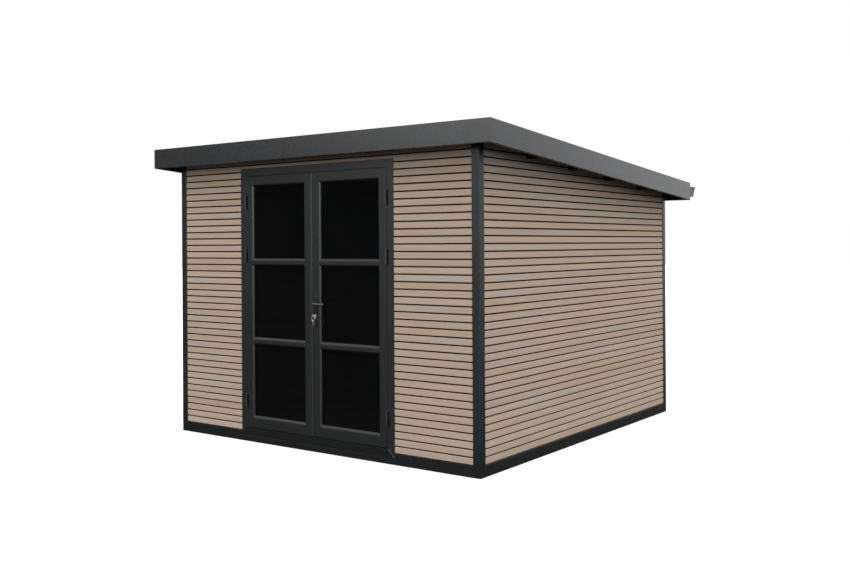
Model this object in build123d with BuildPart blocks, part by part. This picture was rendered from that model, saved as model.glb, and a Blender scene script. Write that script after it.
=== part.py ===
from build123d import *
import os

# Garden house with a single-pitch roof: square plan, high at the front.
# Frame: origin at ground level in the middle of the wall footprint,
# front with the double door at -Y, roof falling towards +Y, +Z up.
# Millimetres.

os.makedirs("parts", exist_ok=True)

# ---------------------------------------------------------------- dimensions
W = 3000.0            # wall footprint along X, over the posts
D = 3000.0            # wall footprint along Y, over the posts
HX, HY = W / 2, D / 2
POST = 60.0           # corner posts, square
RAIL_H = 80.0         # base rails
WALL_SET = 4.0        # wall face behind the post faces
WALL_T = 50.0         # wall thickness

SLOPE = 0.0762        # roof fall per unit of depth (4.4 degrees)
OVER_F = 130.0        # front overhang to the fascia face
OVER_S = 180.0        # side overhang
OVER_B = 150.0        # back overhang
ROOF_FRONT = 2332.0   # upper edge of the front fascia
FASCIA_H = 158.0      # fascia height
FASCIA_T = 4.0        # folded sheet with its backing
FLANGE = 60.0         # top flange of the fascia over the roof edge
LIP = 25.0            # bottom return of the fascia
COVER_T = 4.0         # roof covering
BOARD_T = 18.0        # roof boards
PURLIN_H = 117.0
PURLIN_W = 50.0
PURLIN_Y = (-900.0, -300.0, 300.0, 900.0)   # near faces of the purlins

DOOR_X = 775.0        # half width over the door frame
FRAME_Z0, FRAME_Z1 = 50.0, 2131.0
JAMB = 58.0
HEAD = 56.0
SILL = 56.0
FRAME_Y0, FRAME_Y1 = -HY, -HY + 60.0
STOP = 12.0           # door stop behind the leaves, its width
STOP_D = 8.0          # and its depth
LEAF_X0, LEAF_X1 = 4.5, 712.0
LEAF_Z0, LEAF_Z1 = 112.0, 2070.0
LEAF_Y0, LEAF_Y1 = -HY, -HY + 47.0
STILE = 74.0
STILE_L = 83.0        # meeting stile of the left leaf
TOP_RAIL = 79.0
BOT_RAIL = 93.0
BAR_Z = ((1375.0, 1430.0), (761.0, 817.0))  # glazing bars
GLASS_Y0, GLASS_Y1 = -HY + 14.0, -HY + 38.0   # sealed unit, 24 thick

HINGE_X = 714.5
HINGE_Y = -HY - 8.5
HINGE_R = 7.0
HINGE_Z = (1866.0, 1450.0, 316.0)
HINGE_L = 110.0

PLATE_X, PLATE_W = 34.0, 36.0
PLATE_Z0, PLATE_Z1 = 932.0, 1156.0
PLATE_T = 8.0
LEVER_Z = 1096.0
CYL_Z = 1010.0

GUT_Y = HY + OVER_B   # back face of the gutter, on the back fascia
GUT_X = 1672.0        # half length of the gutter
GUT_Z0, GUT_Z1 = 1958.0, 2048.0
PIPE_X, PIPE_R = -1400.0, 30.0


def roof(y, drop=0.0):
    """Height of the roof plane, less a drop, at depth y."""
    return ROOF_FRONT - SLOPE * (y + HY + OVER_F) - drop


BOARD_BOTTOM = FASCIA_T + COVER_T + BOARD_T        # drop to the underside of the boards
PURLIN_BOTTOM = BOARD_BOTTOM + PURLIN_H            # drop to the underside of the purlins

# ---------------------------------------------------------------- base rails
with BuildPart() as base_rail_front:
    with BuildSketch(Plane.XZ.offset(HY - POST)):
        with BuildLine():
            Polyline((-HX + POST, 0), (HX - POST, 0), (HX - POST, RAIL_H), (DOOR_X, RAIL_H),
                     (DOOR_X, FRAME_Z0), (-DOOR_X, FRAME_Z0), (-DOOR_X, RAIL_H),
                     (-HX + POST, RAIL_H), close=True)
        make_face()
    extrude(amount=POST)
base_rail_front.part.label = "base_rail_front"
export_step(base_rail_front.part, "parts/base_rail_front.step")

with BuildPart() as base_rail_back:
    with BuildSketch():
        with Locations((0, HY - POST / 2)):
            Rectangle(W - 2 * POST, POST)
    extrude(amount=RAIL_H)
base_rail_back.part.label = "base_rail_back"
export_step(base_rail_back.part, "parts/base_rail_back.step")

with BuildPart() as base_rail_left:
    with BuildSketch():
        with Locations((-HX + POST / 2, 0)):
            Rectangle(POST, D - 2 * POST)
    extrude(amount=RAIL_H)
base_rail_left.part.label = "base_rail_left"
export_step(base_rail_left.part, "parts/base_rail_left.step")

with BuildPart() as base_rail_right:
    with BuildSketch():
        with Locations((HX - POST / 2, 0)):
            Rectangle(POST, D - 2 * POST)
    extrude(amount=RAIL_H)
base_rail_right.part.label = "base_rail_right"
export_step(base_rail_right.part, "parts/base_rail_right.step")

# --------------------------------------------------------------------- floor
FLOOR_T = 19.0
with BuildPart() as floor_bearers:
    with BuildSketch():
        with GridLocations(0, 400, 1, 7):
            Rectangle(W - 2 * POST, 50)
    extrude(amount=RAIL_H - FLOOR_T)
floor_bearers.part.label = "floor_bearers"
export_step(floor_bearers.part, "parts/floor_bearers.step")

with BuildPart() as floor_boards:
    with BuildSketch(Plane.XY.offset(RAIL_H - FLOOR_T)):
        Rectangle(W - 2 * POST, D - 2 * POST)
    extrude(amount=FLOOR_T)
floor_boards.part.label = "floor_boards"
export_step(floor_boards.part, "parts/floor_boards.step")

# -------------------------------------------------------------- corner posts
with BuildPart() as post_front_left:
    with BuildSketch(Plane.YZ.offset(-HX)):
        with BuildLine():
            Polyline((-HY, 0), (-HY + POST, 0), (-HY + POST, roof(-HY + POST, BOARD_BOTTOM)),
                     (-HY, roof(-HY, BOARD_BOTTOM)), close=True)
        make_face()
    extrude(amount=POST)
    fillet(post_front_left.edges().filter_by(Axis.Z).sort_by(Axis.X)[:2].sort_by(Axis.Y)[0], radius=3)
post_front_left.part.label = "post_front_left"
export_step(post_front_left.part, "parts/post_front_left.step")

with BuildPart() as post_front_right:
    with BuildSketch(Plane.YZ.offset(HX - POST)):
        with BuildLine():
            Polyline((-HY, 0), (-HY + POST, 0), (-HY + POST, roof(-HY + POST, BOARD_BOTTOM)),
                     (-HY, roof(-HY, BOARD_BOTTOM)), close=True)
        make_face()
    extrude(amount=POST)
    fillet(post_front_right.edges().filter_by(Axis.Z).sort_by(Axis.X)[-2:].sort_by(Axis.Y)[0], radius=3)
post_front_right.part.label = "post_front_right"
export_step(post_front_right.part, "parts/post_front_right.step")

with BuildPart() as post_back_left:
    with BuildSketch(Plane.YZ.offset(-HX)):
        with BuildLine():
            Polyline((HY - POST, 0), (HY, 0), (HY, roof(HY, BOARD_BOTTOM)),
                     (HY - POST, roof(HY - POST, BOARD_BOTTOM)), close=True)
        make_face()
    extrude(amount=POST)
    fillet(post_back_left.edges().filter_by(Axis.Z).sort_by(Axis.X)[:2].sort_by(Axis.Y)[-1], radius=3)
post_back_left.part.label = "post_back_left"
export_step(post_back_left.part, "parts/post_back_left.step")

with BuildPart() as post_back_right:
    with BuildSketch(Plane.YZ.offset(HX - POST)):
        with BuildLine():
            Polyline((HY - POST, 0), (HY, 0), (HY, roof(HY, BOARD_BOTTOM)),
                     (HY - POST, roof(HY - POST, BOARD_BOTTOM)), close=True)
        make_face()
    extrude(amount=POST)
    fillet(post_back_right.edges().filter_by(Axis.Z).sort_by(Axis.X)[-2:].sort_by(Axis.Y)[-1], radius=3)
post_back_right.part.label = "post_back_right"
export_step(post_back_right.part, "parts/post_back_right.step")

# --------------------------------------------------------------------- walls
WY0, WY1 = -HY + WALL_SET, -HY + WALL_SET + WALL_T     # front wall, outer and inner face

with BuildPart() as front_wall_left:
    with BuildSketch(Plane.YZ.offset(-HX + POST)):
        with BuildLine():
            Polyline((WY0, RAIL_H), (WY1, RAIL_H), (WY1, roof(WY1, BOARD_BOTTOM)),
                     (WY0, roof(WY0, BOARD_BOTTOM)), close=True)
        make_face()
    extrude(amount=HX - POST - DOOR_X)
front_wall_left.part.label = "front_wall_left"
export_step(front_wall_left.part, "parts/front_wall_left.step")

with BuildPart() as front_wall_right:
    with BuildSketch(Plane.YZ.offset(DOOR_X)):
        with BuildLine():
            Polyline((WY0, RAIL_H), (WY1, RAIL_H), (WY1, roof(WY1, BOARD_BOTTOM)),
                     (WY0, roof(WY0, BOARD_BOTTOM)), close=True)
        make_face()
    extrude(amount=HX - POST - DOOR_X)
front_wall_right.part.label = "front_wall_right"
export_step(front_wall_right.part, "parts/front_wall_right.step")

with BuildPart() as front_wall_over_door:
    with BuildSketch(Plane.YZ.offset(-DOOR_X)):
        with BuildLine():
            Polyline((WY0, FRAME_Z1), (WY1, FRAME_Z1), (WY1, roof(WY1, BOARD_BOTTOM)),
                     (WY0, roof(WY0, BOARD_BOTTOM)), close=True)
        make_face()
    extrude(amount=2 * DOOR_X)
front_wall_over_door.part.label = "front_wall_over_door"
export_step(front_wall_over_door.part, "parts/front_wall_over_door.step")

with BuildPart() as left_wall:
    with BuildSketch(Plane.YZ.offset(-HX + WALL_SET)):
        with BuildLine():
            Polyline((-HY + POST, RAIL_H), (HY - POST, RAIL_H),
                     (HY - POST, roof(HY - POST, PURLIN_BOTTOM)),
                     (-HY + POST, roof(-HY + POST, PURLIN_BOTTOM)), close=True)
        make_face()
    extrude(amount=WALL_T)
left_wall.part.label = "left_wall"
export_step(left_wall.part, "parts/left_wall.step")

with BuildPart() as right_wall:
    with BuildSketch(Plane.YZ.offset(HX - WALL_SET - WALL_T)):
        with BuildLine():
            Polyline((-HY + POST, RAIL_H), (HY - POST, RAIL_H),
                     (HY - POST, roof(HY - POST, PURLIN_BOTTOM)),
                     (-HY + POST, roof(-HY + POST, PURLIN_BOTTOM)), close=True)
        make_face()
    extrude(amount=WALL_T)
right_wall.part.label = "right_wall"
export_step(right_wall.part, "parts/right_wall.step")

# Upper strips of the side walls, between the purlins that pass through them
STRIP_Y = [(-HY + POST, PURLIN_Y[0])]
STRIP_Y += [(PURLIN_Y[k] + PURLIN_W, PURLIN_Y[k + 1]) for k in range(3)]
STRIP_Y += [(PURLIN_Y[3] + PURLIN_W, HY - POST)]

with BuildPart() as left_wall_top:
    with BuildSketch(Plane.YZ.offset(-HX + WALL_SET)):
        for y0, y1 in STRIP_Y:
            with BuildLine():
                Polyline((y0, roof(y0, PURLIN_BOTTOM)), (y1, roof(y1, PURLIN_BOTTOM)),
                         (y1, roof(y1, BOARD_BOTTOM)), (y0, roof(y0, BOARD_BOTTOM)), close=True)
            make_face()
    extrude(amount=WALL_T)
left_wall_top.part.label = "left_wall_top"
export_step(left_wall_top.part, "parts/left_wall_top.step")

with BuildPart() as right_wall_top:
    with BuildSketch(Plane.YZ.offset(HX - WALL_SET - WALL_T)):
        for y0, y1 in STRIP_Y:
            with BuildLine():
                Polyline((y0, roof(y0, PURLIN_BOTTOM)), (y1, roof(y1, PURLIN_BOTTOM)),
                         (y1, roof(y1, BOARD_BOTTOM)), (y0, roof(y0, BOARD_BOTTOM)), close=True)
            make_face()
    extrude(amount=WALL_T)
right_wall_top.part.label = "right_wall_top"
export_step(right_wall_top.part, "parts/right_wall_top.step")

with BuildPart() as back_wall:
    with BuildSketch(Plane.YZ.offset(-HX + POST)):
        with BuildLine():
            Polyline((-WY1, RAIL_H), (-WY0, RAIL_H), (-WY0, roof(-WY0, BOARD_BOTTOM)),
                     (-WY1, roof(-WY1, BOARD_BOTTOM)), close=True)
        make_face()
    extrude(amount=W - 2 * POST)
back_wall.part.label = "back_wall"
export_step(back_wall.part, "parts/back_wall.step")

# ---------------------------------------------------------------- door frame
IN_X = DOOR_X - JAMB                  # clear opening, half width
IN_Z0, IN_Z1 = FRAME_Z0 + SILL, FRAME_Z1 - HEAD
FRAME_D = FRAME_Y1 - FRAME_Y0

with BuildPart() as door_frame_left:
    with BuildSketch(Plane.XZ.offset(-FRAME_Y1)):
        with BuildLine():
            Polyline((-DOOR_X, FRAME_Z0), (-IN_X, IN_Z0), (-IN_X, IN_Z1), (-DOOR_X, FRAME_Z1), close=True)
        make_face()
    extrude(amount=FRAME_D)
    with BuildSketch(Plane.XZ.offset(-FRAME_Y1)):
        with BuildLine():
            Polyline((-IN_X, IN_Z0), (-IN_X + STOP, IN_Z0 + STOP), (-IN_X + STOP, IN_Z1 - STOP),
                     (-IN_X, IN_Z1), close=True)
        make_face()
    extrude(amount=STOP_D)
door_frame_left.part.label = "door_frame_left"
export_step(door_frame_left.part, "parts/door_frame_left.step")

with BuildPart() as door_frame_right:
    with BuildSketch(Plane.XZ.offset(-FRAME_Y1)):
        with BuildLine():
            Polyline((DOOR_X, FRAME_Z0), (DOOR_X, FRAME_Z1), (IN_X, IN_Z1), (IN_X, IN_Z0), close=True)
        make_face()
    extrude(amount=FRAME_D)
    with BuildSketch(Plane.XZ.offset(-FRAME_Y1)):
        with BuildLine():
            Polyline((IN_X, IN_Z0), (IN_X, IN_Z1), (IN_X - STOP, IN_Z1 - STOP),
                     (IN_X - STOP, IN_Z0 + STOP), close=True)
        make_face()
    extrude(amount=STOP_D)
door_frame_right.part.label = "door_frame_right"
export_step(door_frame_right.part, "parts/door_frame_right.step")

with BuildPart() as door_frame_head:
    with BuildSketch(Plane.XZ.offset(-FRAME_Y1)):
        with BuildLine():
            Polyline((-DOOR_X, FRAME_Z1), (-IN_X, IN_Z1), (IN_X, IN_Z1), (DOOR_X, FRAME_Z1), close=True)
        make_face()
    extrude(amount=FRAME_D)
    with BuildSketch(Plane.XZ.offset(-FRAME_Y1)):
        with BuildLine():
            Polyline((-IN_X, IN_Z1), (-IN_X + STOP, IN_Z1 - STOP), (IN_X - STOP, IN_Z1 - STOP),
                     (IN_X, IN_Z1), close=True)
        make_face()
    extrude(amount=STOP_D)
door_frame_head.part.label = "door_frame_head"
export_step(door_frame_head.part, "parts/door_frame_head.step")

with BuildPart() as door_frame_sill:
    with BuildSketch(Plane.XZ.offset(-FRAME_Y1)):
        with BuildLine():
            Polyline((-DOOR_X, FRAME_Z0), (DOOR_X, FRAME_Z0), (IN_X, IN_Z0), (-IN_X, IN_Z0), close=True)
        make_face()
    extrude(amount=FRAME_D)
    with BuildSketch(Plane.XZ.offset(-FRAME_Y1)):
        with BuildLine():
            Polyline((-IN_X, IN_Z0), (IN_X, IN_Z0), (IN_X - STOP, IN_Z0 + STOP),
                     (-IN_X + STOP, IN_Z0 + STOP), close=True)
        make_face()
    extrude(amount=STOP_D)
door_frame_sill.part.label = "door_frame_sill"
export_step(door_frame_sill.part, "parts/door_frame_sill.step")

# ---------------------------------------------------------------------- roof
with BuildPart() as purlins:
    with BuildSketch(Plane.YZ.offset(-HX - OVER_S + FASCIA_T)):
        for y in PURLIN_Y:
            with BuildLine():
                Polyline((y, roof(y, PURLIN_BOTTOM)), (y + PURLIN_W, roof(y + PURLIN_W, PURLIN_BOTTOM)),
                         (y + PURLIN_W, roof(y + PURLIN_W, BOARD_BOTTOM)), (y, roof(y, BOARD_BOTTOM)),
                         close=True)
            make_face()
    extrude(amount=W + 2 * OVER_S - 2 * FASCIA_T)
purlins.part.label = "purlins"
export_step(purlins.part, "parts/purlins.step")

RY0 = -HY - OVER_F + FASCIA_T      # inner face of the front fascia
RY1 = HY + OVER_B - FASCIA_T       # inner face of the back fascia
with BuildPart() as roof_boards:
    with BuildSketch(Plane.YZ.offset(-HX - OVER_S + FASCIA_T)):
        with BuildLine():
            Polyline((RY0, roof(RY0, BOARD_BOTTOM)), (RY1, roof(RY1, BOARD_BOTTOM)),
                     (RY1, roof(RY1, FASCIA_T + COVER_T)), (RY0, roof(RY0, FASCIA_T + COVER_T)), close=True)
        make_face()
    extrude(amount=W + 2 * OVER_S - 2 * FASCIA_T)
roof_boards.part.label = "roof_boards"
export_step(roof_boards.part, "parts/roof_boards.step")

RY2 = HY + OVER_B                  # the covering runs over the back fascia
with BuildPart() as roof_covering:
    with BuildSketch(Plane.YZ.offset(-HX - OVER_S + FASCIA_T)):
        with BuildLine():
            Polyline((RY0, roof(RY0, FASCIA_T + COVER_T)), (RY2, roof(RY2, FASCIA_T + COVER_T)),
                     (RY2, roof(RY2, FASCIA_T)), (RY0, roof(RY0, FASCIA_T)), close=True)
        make_face()
    extrude(amount=W + 2 * OVER_S - 2 * FASCIA_T)
roof_covering.part.label = "roof_covering"
export_step(roof_covering.part, "parts/roof_covering.step")

# ------------------------------------------------------------------- fascias
FX = HX + OVER_S                   # outer faces of the side fascias
FY0 = -HY - OVER_F                 # outer face of the front fascia
FY1 = HY + OVER_B                  # back ends of the side fascias
mitre_right = Plane(origin=(FX, FY0, 0), x_dir=(0, 0, 1), z_dir=(1, 1, 0))
mitre_left = Plane(origin=(-FX, FY0, 0), x_dir=(0, 0, 1), z_dir=(-1, 1, 0))

with BuildPart() as fascia_front:
    with BuildSketch(Plane.YZ.offset(-FX)):
        with BuildLine():
            Polyline((FY0, roof(FY0)), (FY0 + FLANGE, roof(FY0 + FLANGE)),
                     (FY0 + FLANGE, roof(FY0 + FLANGE, FASCIA_T)),
                     (FY0 + FASCIA_T, roof(FY0 + FASCIA_T, FASCIA_T)),
                     (FY0 + FASCIA_T, roof(FY0 + FASCIA_T, FASCIA_H - FASCIA_T)),
                     (FY0 + LIP, roof(FY0 + LIP, FASCIA_H - FASCIA_T)),
                     (FY0 + LIP, roof(FY0 + LIP, FASCIA_H)),
                     (FY0, roof(FY0, FASCIA_H)), close=True)
        make_face()
    extrude(amount=2 * FX)
    split(bisect_by=mitre_right, keep=Keep.BOTTOM)
    split(bisect_by=mitre_left, keep=Keep.BOTTOM)
fascia_front.part.label = "fascia_front"
export_step(fascia_front.part, "parts/fascia_front.step")

with BuildPart() as fascia_right:
    with BuildSketch(Plane.YZ.offset(FX - FASCIA_T)):
        with BuildLine():
            Polyline((FY0, roof(FY0)), (FY1, roof(FY1)), (FY1, roof(FY1, FASCIA_H)),
                     (FY0, roof(FY0, FASCIA_H)), close=True)
        make_face()
    extrude(amount=FASCIA_T)
    with BuildSketch(Plane.YZ.offset(FX - FLANGE)):
        with BuildLine():
            Polyline((FY0, roof(FY0)), (FY1, roof(FY1)), (FY1, roof(FY1, FASCIA_T)),
                     (FY0, roof(FY0, FASCIA_T)), close=True)
        make_face()
    extrude(amount=FLANGE)
    with BuildSketch(Plane.YZ.offset(FX - LIP)):
        with BuildLine():
            Polyline((FY0, roof(FY0, FASCIA_H - FASCIA_T)), (FY1, roof(FY1, FASCIA_H - FASCIA_T)),
                     (FY1, roof(FY1, FASCIA_H)), (FY0, roof(FY0, FASCIA_H)), close=True)
        make_face()
    extrude(amount=LIP)
    split(bisect_by=mitre_right, keep=Keep.TOP)
fascia_right.part.label = "fascia_right"
export_step(fascia_right.part, "parts/fascia_right.step")

with BuildPart() as fascia_left:
    with BuildSketch(Plane.YZ.offset(-FX)):
        with BuildLine():
            Polyline((FY0, roof(FY0)), (FY1, roof(FY1)), (FY1, roof(FY1, FASCIA_H)),
                     (FY0, roof(FY0, FASCIA_H)), close=True)
        make_face()
    extrude(amount=FASCIA_T)
    with BuildSketch(Plane.YZ.offset(-FX)):
        with BuildLine():
            Polyline((FY0, roof(FY0)), (FY1, roof(FY1)), (FY1, roof(FY1, FASCIA_T)),
                     (FY0, roof(FY0, FASCIA_T)), close=True)
        make_face()
    extrude(amount=FLANGE)
    with BuildSketch(Plane.YZ.offset(-FX)):
        with BuildLine():
            Polyline((FY0, roof(FY0, FASCIA_H - FASCIA_T)), (FY1, roof(FY1, FASCIA_H - FASCIA_T)),
                     (FY1, roof(FY1, FASCIA_H)), (FY0, roof(FY0, FASCIA_H)), close=True)
        make_face()
    extrude(amount=LIP)
    split(bisect_by=mitre_left, keep=Keep.TOP)
fascia_left.part.label = "fascia_left"
export_step(fascia_left.part, "parts/fascia_left.step")

# The back fascia stands between the side fascias, under the covering's edge
with BuildPart() as fascia_back:
    with BuildSketch(Plane.YZ.offset(-FX + FASCIA_T)):
        with BuildLine():
            Polyline((FY1, roof(FY1, FASCIA_T + COVER_T)),
                     (FY1 - FASCIA_T, roof(FY1 - FASCIA_T, FASCIA_T + COVER_T)),
                     (FY1 - FASCIA_T, roof(FY1 - FASCIA_T, FASCIA_H - FASCIA_T)),
                     (FY1, roof(FY1, FASCIA_H - FASCIA_T)), close=True)
        make_face()
    extrude(amount=2 * (FX - FASCIA_T))
    with BuildSketch(Plane.YZ.offset(-FX + LIP)):
        with BuildLine():
            Polyline((FY1, roof(FY1, FASCIA_H - FASCIA_T)), (FY1 - LIP, roof(FY1 - LIP, FASCIA_H - FASCIA_T)),
                     (FY1 - LIP, roof(FY1 - LIP, FASCIA_H)), (FY1, roof(FY1, FASCIA_H)), close=True)
        make_face()
    extrude(amount=2 * (FX - LIP))
fascia_back.part.label = "fascia_back"
export_step(fascia_back.part, "parts/fascia_back.step")

# Eaves flashing over the covering's back edge, hanging into the gutter
with BuildPart() as drip_edge:
    with BuildSketch(Plane.YZ.offset(-FX + FLANGE + 2)):
        with BuildLine():
            Polyline((FY1 - 70, roof(FY1 - 70, FASCIA_T)), (FY1 + 14, roof(FY1 + 14, FASCIA_T)),
                     (FY1 + 14, GUT_Z1 - 12), (FY1 + 17, GUT_Z1 - 12),
                     (FY1 + 17, roof(FY1 + 17, FASCIA_T - 3)), (FY1 - 70, roof(FY1 - 70, FASCIA_T - 3)),
                     close=True)
        make_face()
    extrude(amount=2 * (FX - FLANGE - 2))
drip_edge.part.label = "drip_edge"
export_step(drip_edge.part, "parts/drip_edge.step")

# -------------------------------------------------------- gutter, rain pipe
with BuildPart() as gutter:
    with BuildSketch(Plane.YZ.offset(-GUT_X)):
        with BuildLine():
            Polyline((GUT_Y, GUT_Z1), (GUT_Y, GUT_Z0), (GUT_Y + 90, GUT_Z0), (GUT_Y + 97, GUT_Z0 + 10),
                     (GUT_Y + 117, GUT_Z0 + 50), (GUT_Y + 125, GUT_Z0 + 76), (GUT_Y + 143, GUT_Z0 + 76),
                     (GUT_Y + 143, GUT_Z1), close=True)
        make_face()
    extrude(amount=2 * GUT_X)
    with BuildSketch(Plane.YZ.offset(-GUT_X + 3)):
        with BuildLine():
            Polyline((GUT_Y + 3, GUT_Z1), (GUT_Y + 3, GUT_Z0 + 3), (GUT_Y + 88.5, GUT_Z0 + 3),
                     (GUT_Y + 94.2, GUT_Z0 + 11.2), (GUT_Y + 114.2, GUT_Z0 + 51), (GUT_Y + 122, GUT_Z0 + 76.5),
                     (GUT_Y + 122, GUT_Z1), close=True)
        make_face()
    extrude(amount=2 * GUT_X - 6, mode=Mode.SUBTRACT)
gutter.part.label = "gutter"
export_step(gutter.part, "parts/gutter.step")

with BuildPart() as downpipe:
    with BuildLine():
        FilletPolyline((PIPE_X, GUT_Y + 50, GUT_Z0), (PIPE_X, GUT_Y + 50, 1875), (PIPE_X, HY + 45, 1760),
                       (PIPE_X, HY + 45, 190), (PIPE_X, HY + 95, 120), radius=45)
    with BuildSketch(Plane(origin=(PIPE_X, GUT_Y + 50, GUT_Z0), z_dir=(0, 0, -1))):
        Circle(PIPE_R)
    sweep()
downpipe.part.label = "downpipe"
export_step(downpipe.part, "parts/downpipe.step")

with BuildPart() as downpipe_clips:
    for z in (420.0, 1060.0, 1660.0):
        with BuildSketch(Plane.XY.offset(z)):
            with Locations((PIPE_X, HY + 45)):
                Circle(PIPE_R + 3)
            with Locations((PIPE_X, HY + 7)):
                Rectangle(20, 22)
            with Locations((PIPE_X, HY + 45)):
                Circle(PIPE_R, mode=Mode.SUBTRACT)
        extrude(amount=24)
downpipe_clips.part.label = "downpipe_clips"
export_step(downpipe_clips.part, "parts/downpipe_clips.step")

# --------------------------------------------------------------- door leaves
# Each leaf: two stiles, four rails (top, bottom, two glazing bars), one sheet
# of sealed glazing in three panes, three hinge knuckles.
GZ = ((LEAF_Z0 + BOT_RAIL, BAR_Z[1][0]), (BAR_Z[1][1], BAR_Z[0][0]), (BAR_Z[0][1], LEAF_Z1 - TOP_RAIL))

with BuildPart() as left_door_stiles:
    with BuildSketch(Plane.XY.offset(LEAF_Z0)):
        with Locations((-LEAF_X1 + STILE / 2, (LEAF_Y0 + LEAF_Y1) / 2)):
            Rectangle(STILE, LEAF_Y1 - LEAF_Y0)
        with Locations((-LEAF_X0 - STILE_L / 2, (LEAF_Y0 + LEAF_Y1) / 2)):
            Rectangle(STILE_L, LEAF_Y1 - LEAF_Y0)
    extrude(amount=LEAF_Z1 - LEAF_Z0)
    fillet(left_door_stiles.edges().filter_by(Axis.Z).group_by(Axis.Y)[0].sort_by(Axis.X)[0], radius=3)
    fillet(left_door_stiles.edges().filter_by(Axis.Z).group_by(Axis.Y)[0].sort_by(Axis.X)[-1], radius=3)
left_door_stiles.part.label = "left_door_stiles"
export_step(left_door_stiles.part, "parts/left_door_stiles.step")

with BuildPart() as right_door_stiles:
    with BuildSketch(Plane.XY.offset(LEAF_Z0)):
        with Locations((LEAF_X1 - STILE / 2, (LEAF_Y0 + LEAF_Y1) / 2),
                       (LEAF_X0 + STILE / 2, (LEAF_Y0 + LEAF_Y1) / 2)):
            Rectangle(STILE, LEAF_Y1 - LEAF_Y0)
    extrude(amount=LEAF_Z1 - LEAF_Z0)
    fillet(right_door_stiles.edges().filter_by(Axis.Z).group_by(Axis.Y)[0].sort_by(Axis.X)[0], radius=3)
    fillet(right_door_stiles.edges().filter_by(Axis.Z).group_by(Axis.Y)[0].sort_by(Axis.X)[-1], radius=3)
    with BuildSketch(Plane.XZ.offset(-LEAF_Y1)):
        with Locations((PLATE_X, LEVER_Z)):
            Circle(8)
    extrude(amount=LEAF_Y1 - LEAF_Y0, mode=Mode.SUBTRACT)
right_door_stiles.part.label = "right_door_stiles"
export_step(right_door_stiles.part, "parts/right_door_stiles.step")

RAILS = ((LEAF_Z0, LEAF_Z0 + BOT_RAIL), BAR_Z[1], BAR_Z[0], (LEAF_Z1 - TOP_RAIL, LEAF_Z1))
RAIL_R = LEAF_X1 - LEAF_X0 - 2 * STILE             # lengths between the stiles
RAIL_L = LEAF_X1 - LEAF_X0 - STILE - STILE_L
MID_R = (LEAF_X0 + LEAF_X1) / 2
MID_L = (LEAF_X0 + STILE_L + LEAF_X1 - STILE) / 2

with BuildPart() as left_door_rails:
    with BuildSketch(Plane.XZ.offset(-LEAF_Y1)):
        for z0, z1 in RAILS:
            with Locations((-MID_L, (z0 + z1) / 2)):
                Rectangle(RAIL_L, z1 - z0)
    extrude(amount=LEAF_Y1 - LEAF_Y0)
left_door_rails.part.label = "left_door_rails"
export_step(left_door_rails.part, "parts/left_door_rails.step")

with BuildPart() as right_door_rails:
    with BuildSketch(Plane.XZ.offset(-LEAF_Y1)):
        for z0, z1 in RAILS:
            with Locations((MID_R, (z0 + z1) / 2)):
                Rectangle(RAIL_R, z1 - z0)
    extrude(amount=LEAF_Y1 - LEAF_Y0)
right_door_rails.part.label = "right_door_rails"
export_step(right_door_rails.part, "parts/right_door_rails.step")

with BuildPart() as left_door_glass:
    with BuildSketch(Plane.XZ.offset(-GLASS_Y1)):
        for z0, z1 in GZ:
            with Locations((-MID_L, (z0 + z1) / 2)):
                Rectangle(RAIL_L, z1 - z0)
    extrude(amount=GLASS_Y1 - GLASS_Y0)
left_door_glass.part.label = "left_door_glass"
export_step(left_door_glass.part, "parts/left_door_glass.step")

with BuildPart() as right_door_glass:
    with BuildSketch(Plane.XZ.offset(-GLASS_Y1)):
        for z0, z1 in GZ:
            with Locations((MID_R, (z0 + z1) / 2)):
                Rectangle(RAIL_R, z1 - z0)
    extrude(amount=GLASS_Y1 - GLASS_Y0)
right_door_glass.part.label = "right_door_glass"
export_step(right_door_glass.part, "parts/right_door_glass.step")

# Hinges: the lower knuckle with its plate is on the frame, the upper on the leaf
KN = HINGE_L / 2 - 0.5
PL = 14.0
with BuildPart() as frame_hinges:
    for s in (-1, 1):
        for z in HINGE_Z:
            with BuildSketch(Plane.XY.offset(z - HINGE_L / 2)):
                with Locations((s * HINGE_X, HINGE_Y)):
                    Circle(HINGE_R)
                with Locations((s * (HINGE_X + 2.5 + PL / 2), -HY - 1.5)):
                    Rectangle(PL, 3)
                with Locations((s * (HINGE_X + 5), (HINGE_Y - HY) / 2 - 0.25)):
                    Rectangle(6, 8)
            extrude(amount=KN)
frame_hinges.part.label = "frame_hinges"
export_step(frame_hinges.part, "parts/frame_hinges.step")

with BuildPart() as left_door_hinges:
    for z in HINGE_Z:
        with BuildSketch(Plane.XY.offset(z + 0.5)):
            with Locations((-HINGE_X, HINGE_Y)):
                Circle(HINGE_R)
            with Locations((-(HINGE_X - 2.5 - PL / 2), -HY - 1.5)):
                Rectangle(PL, 3)
            with Locations((-(HINGE_X - 5), (HINGE_Y - HY) / 2 - 0.25)):
                Rectangle(6, 8)
        extrude(amount=KN)
left_door_hinges.part.label = "left_door_hinges"
export_step(left_door_hinges.part, "parts/left_door_hinges.step")

with BuildPart() as right_door_hinges:
    for z in HINGE_Z:
        with BuildSketch(Plane.XY.offset(z + 0.5)):
            with Locations((HINGE_X, HINGE_Y)):
                Circle(HINGE_R)
            with Locations(((HINGE_X - 2.5 - PL / 2), -HY - 1.5)):
                Rectangle(PL, 3)
            with Locations(((HINGE_X - 5), (HINGE_Y - HY) / 2 - 0.25)):
                Rectangle(6, 8)
        extrude(amount=KN)
right_door_hinges.part.label = "right_door_hinges"
export_step(right_door_hinges.part, "parts/right_door_hinges.step")

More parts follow.
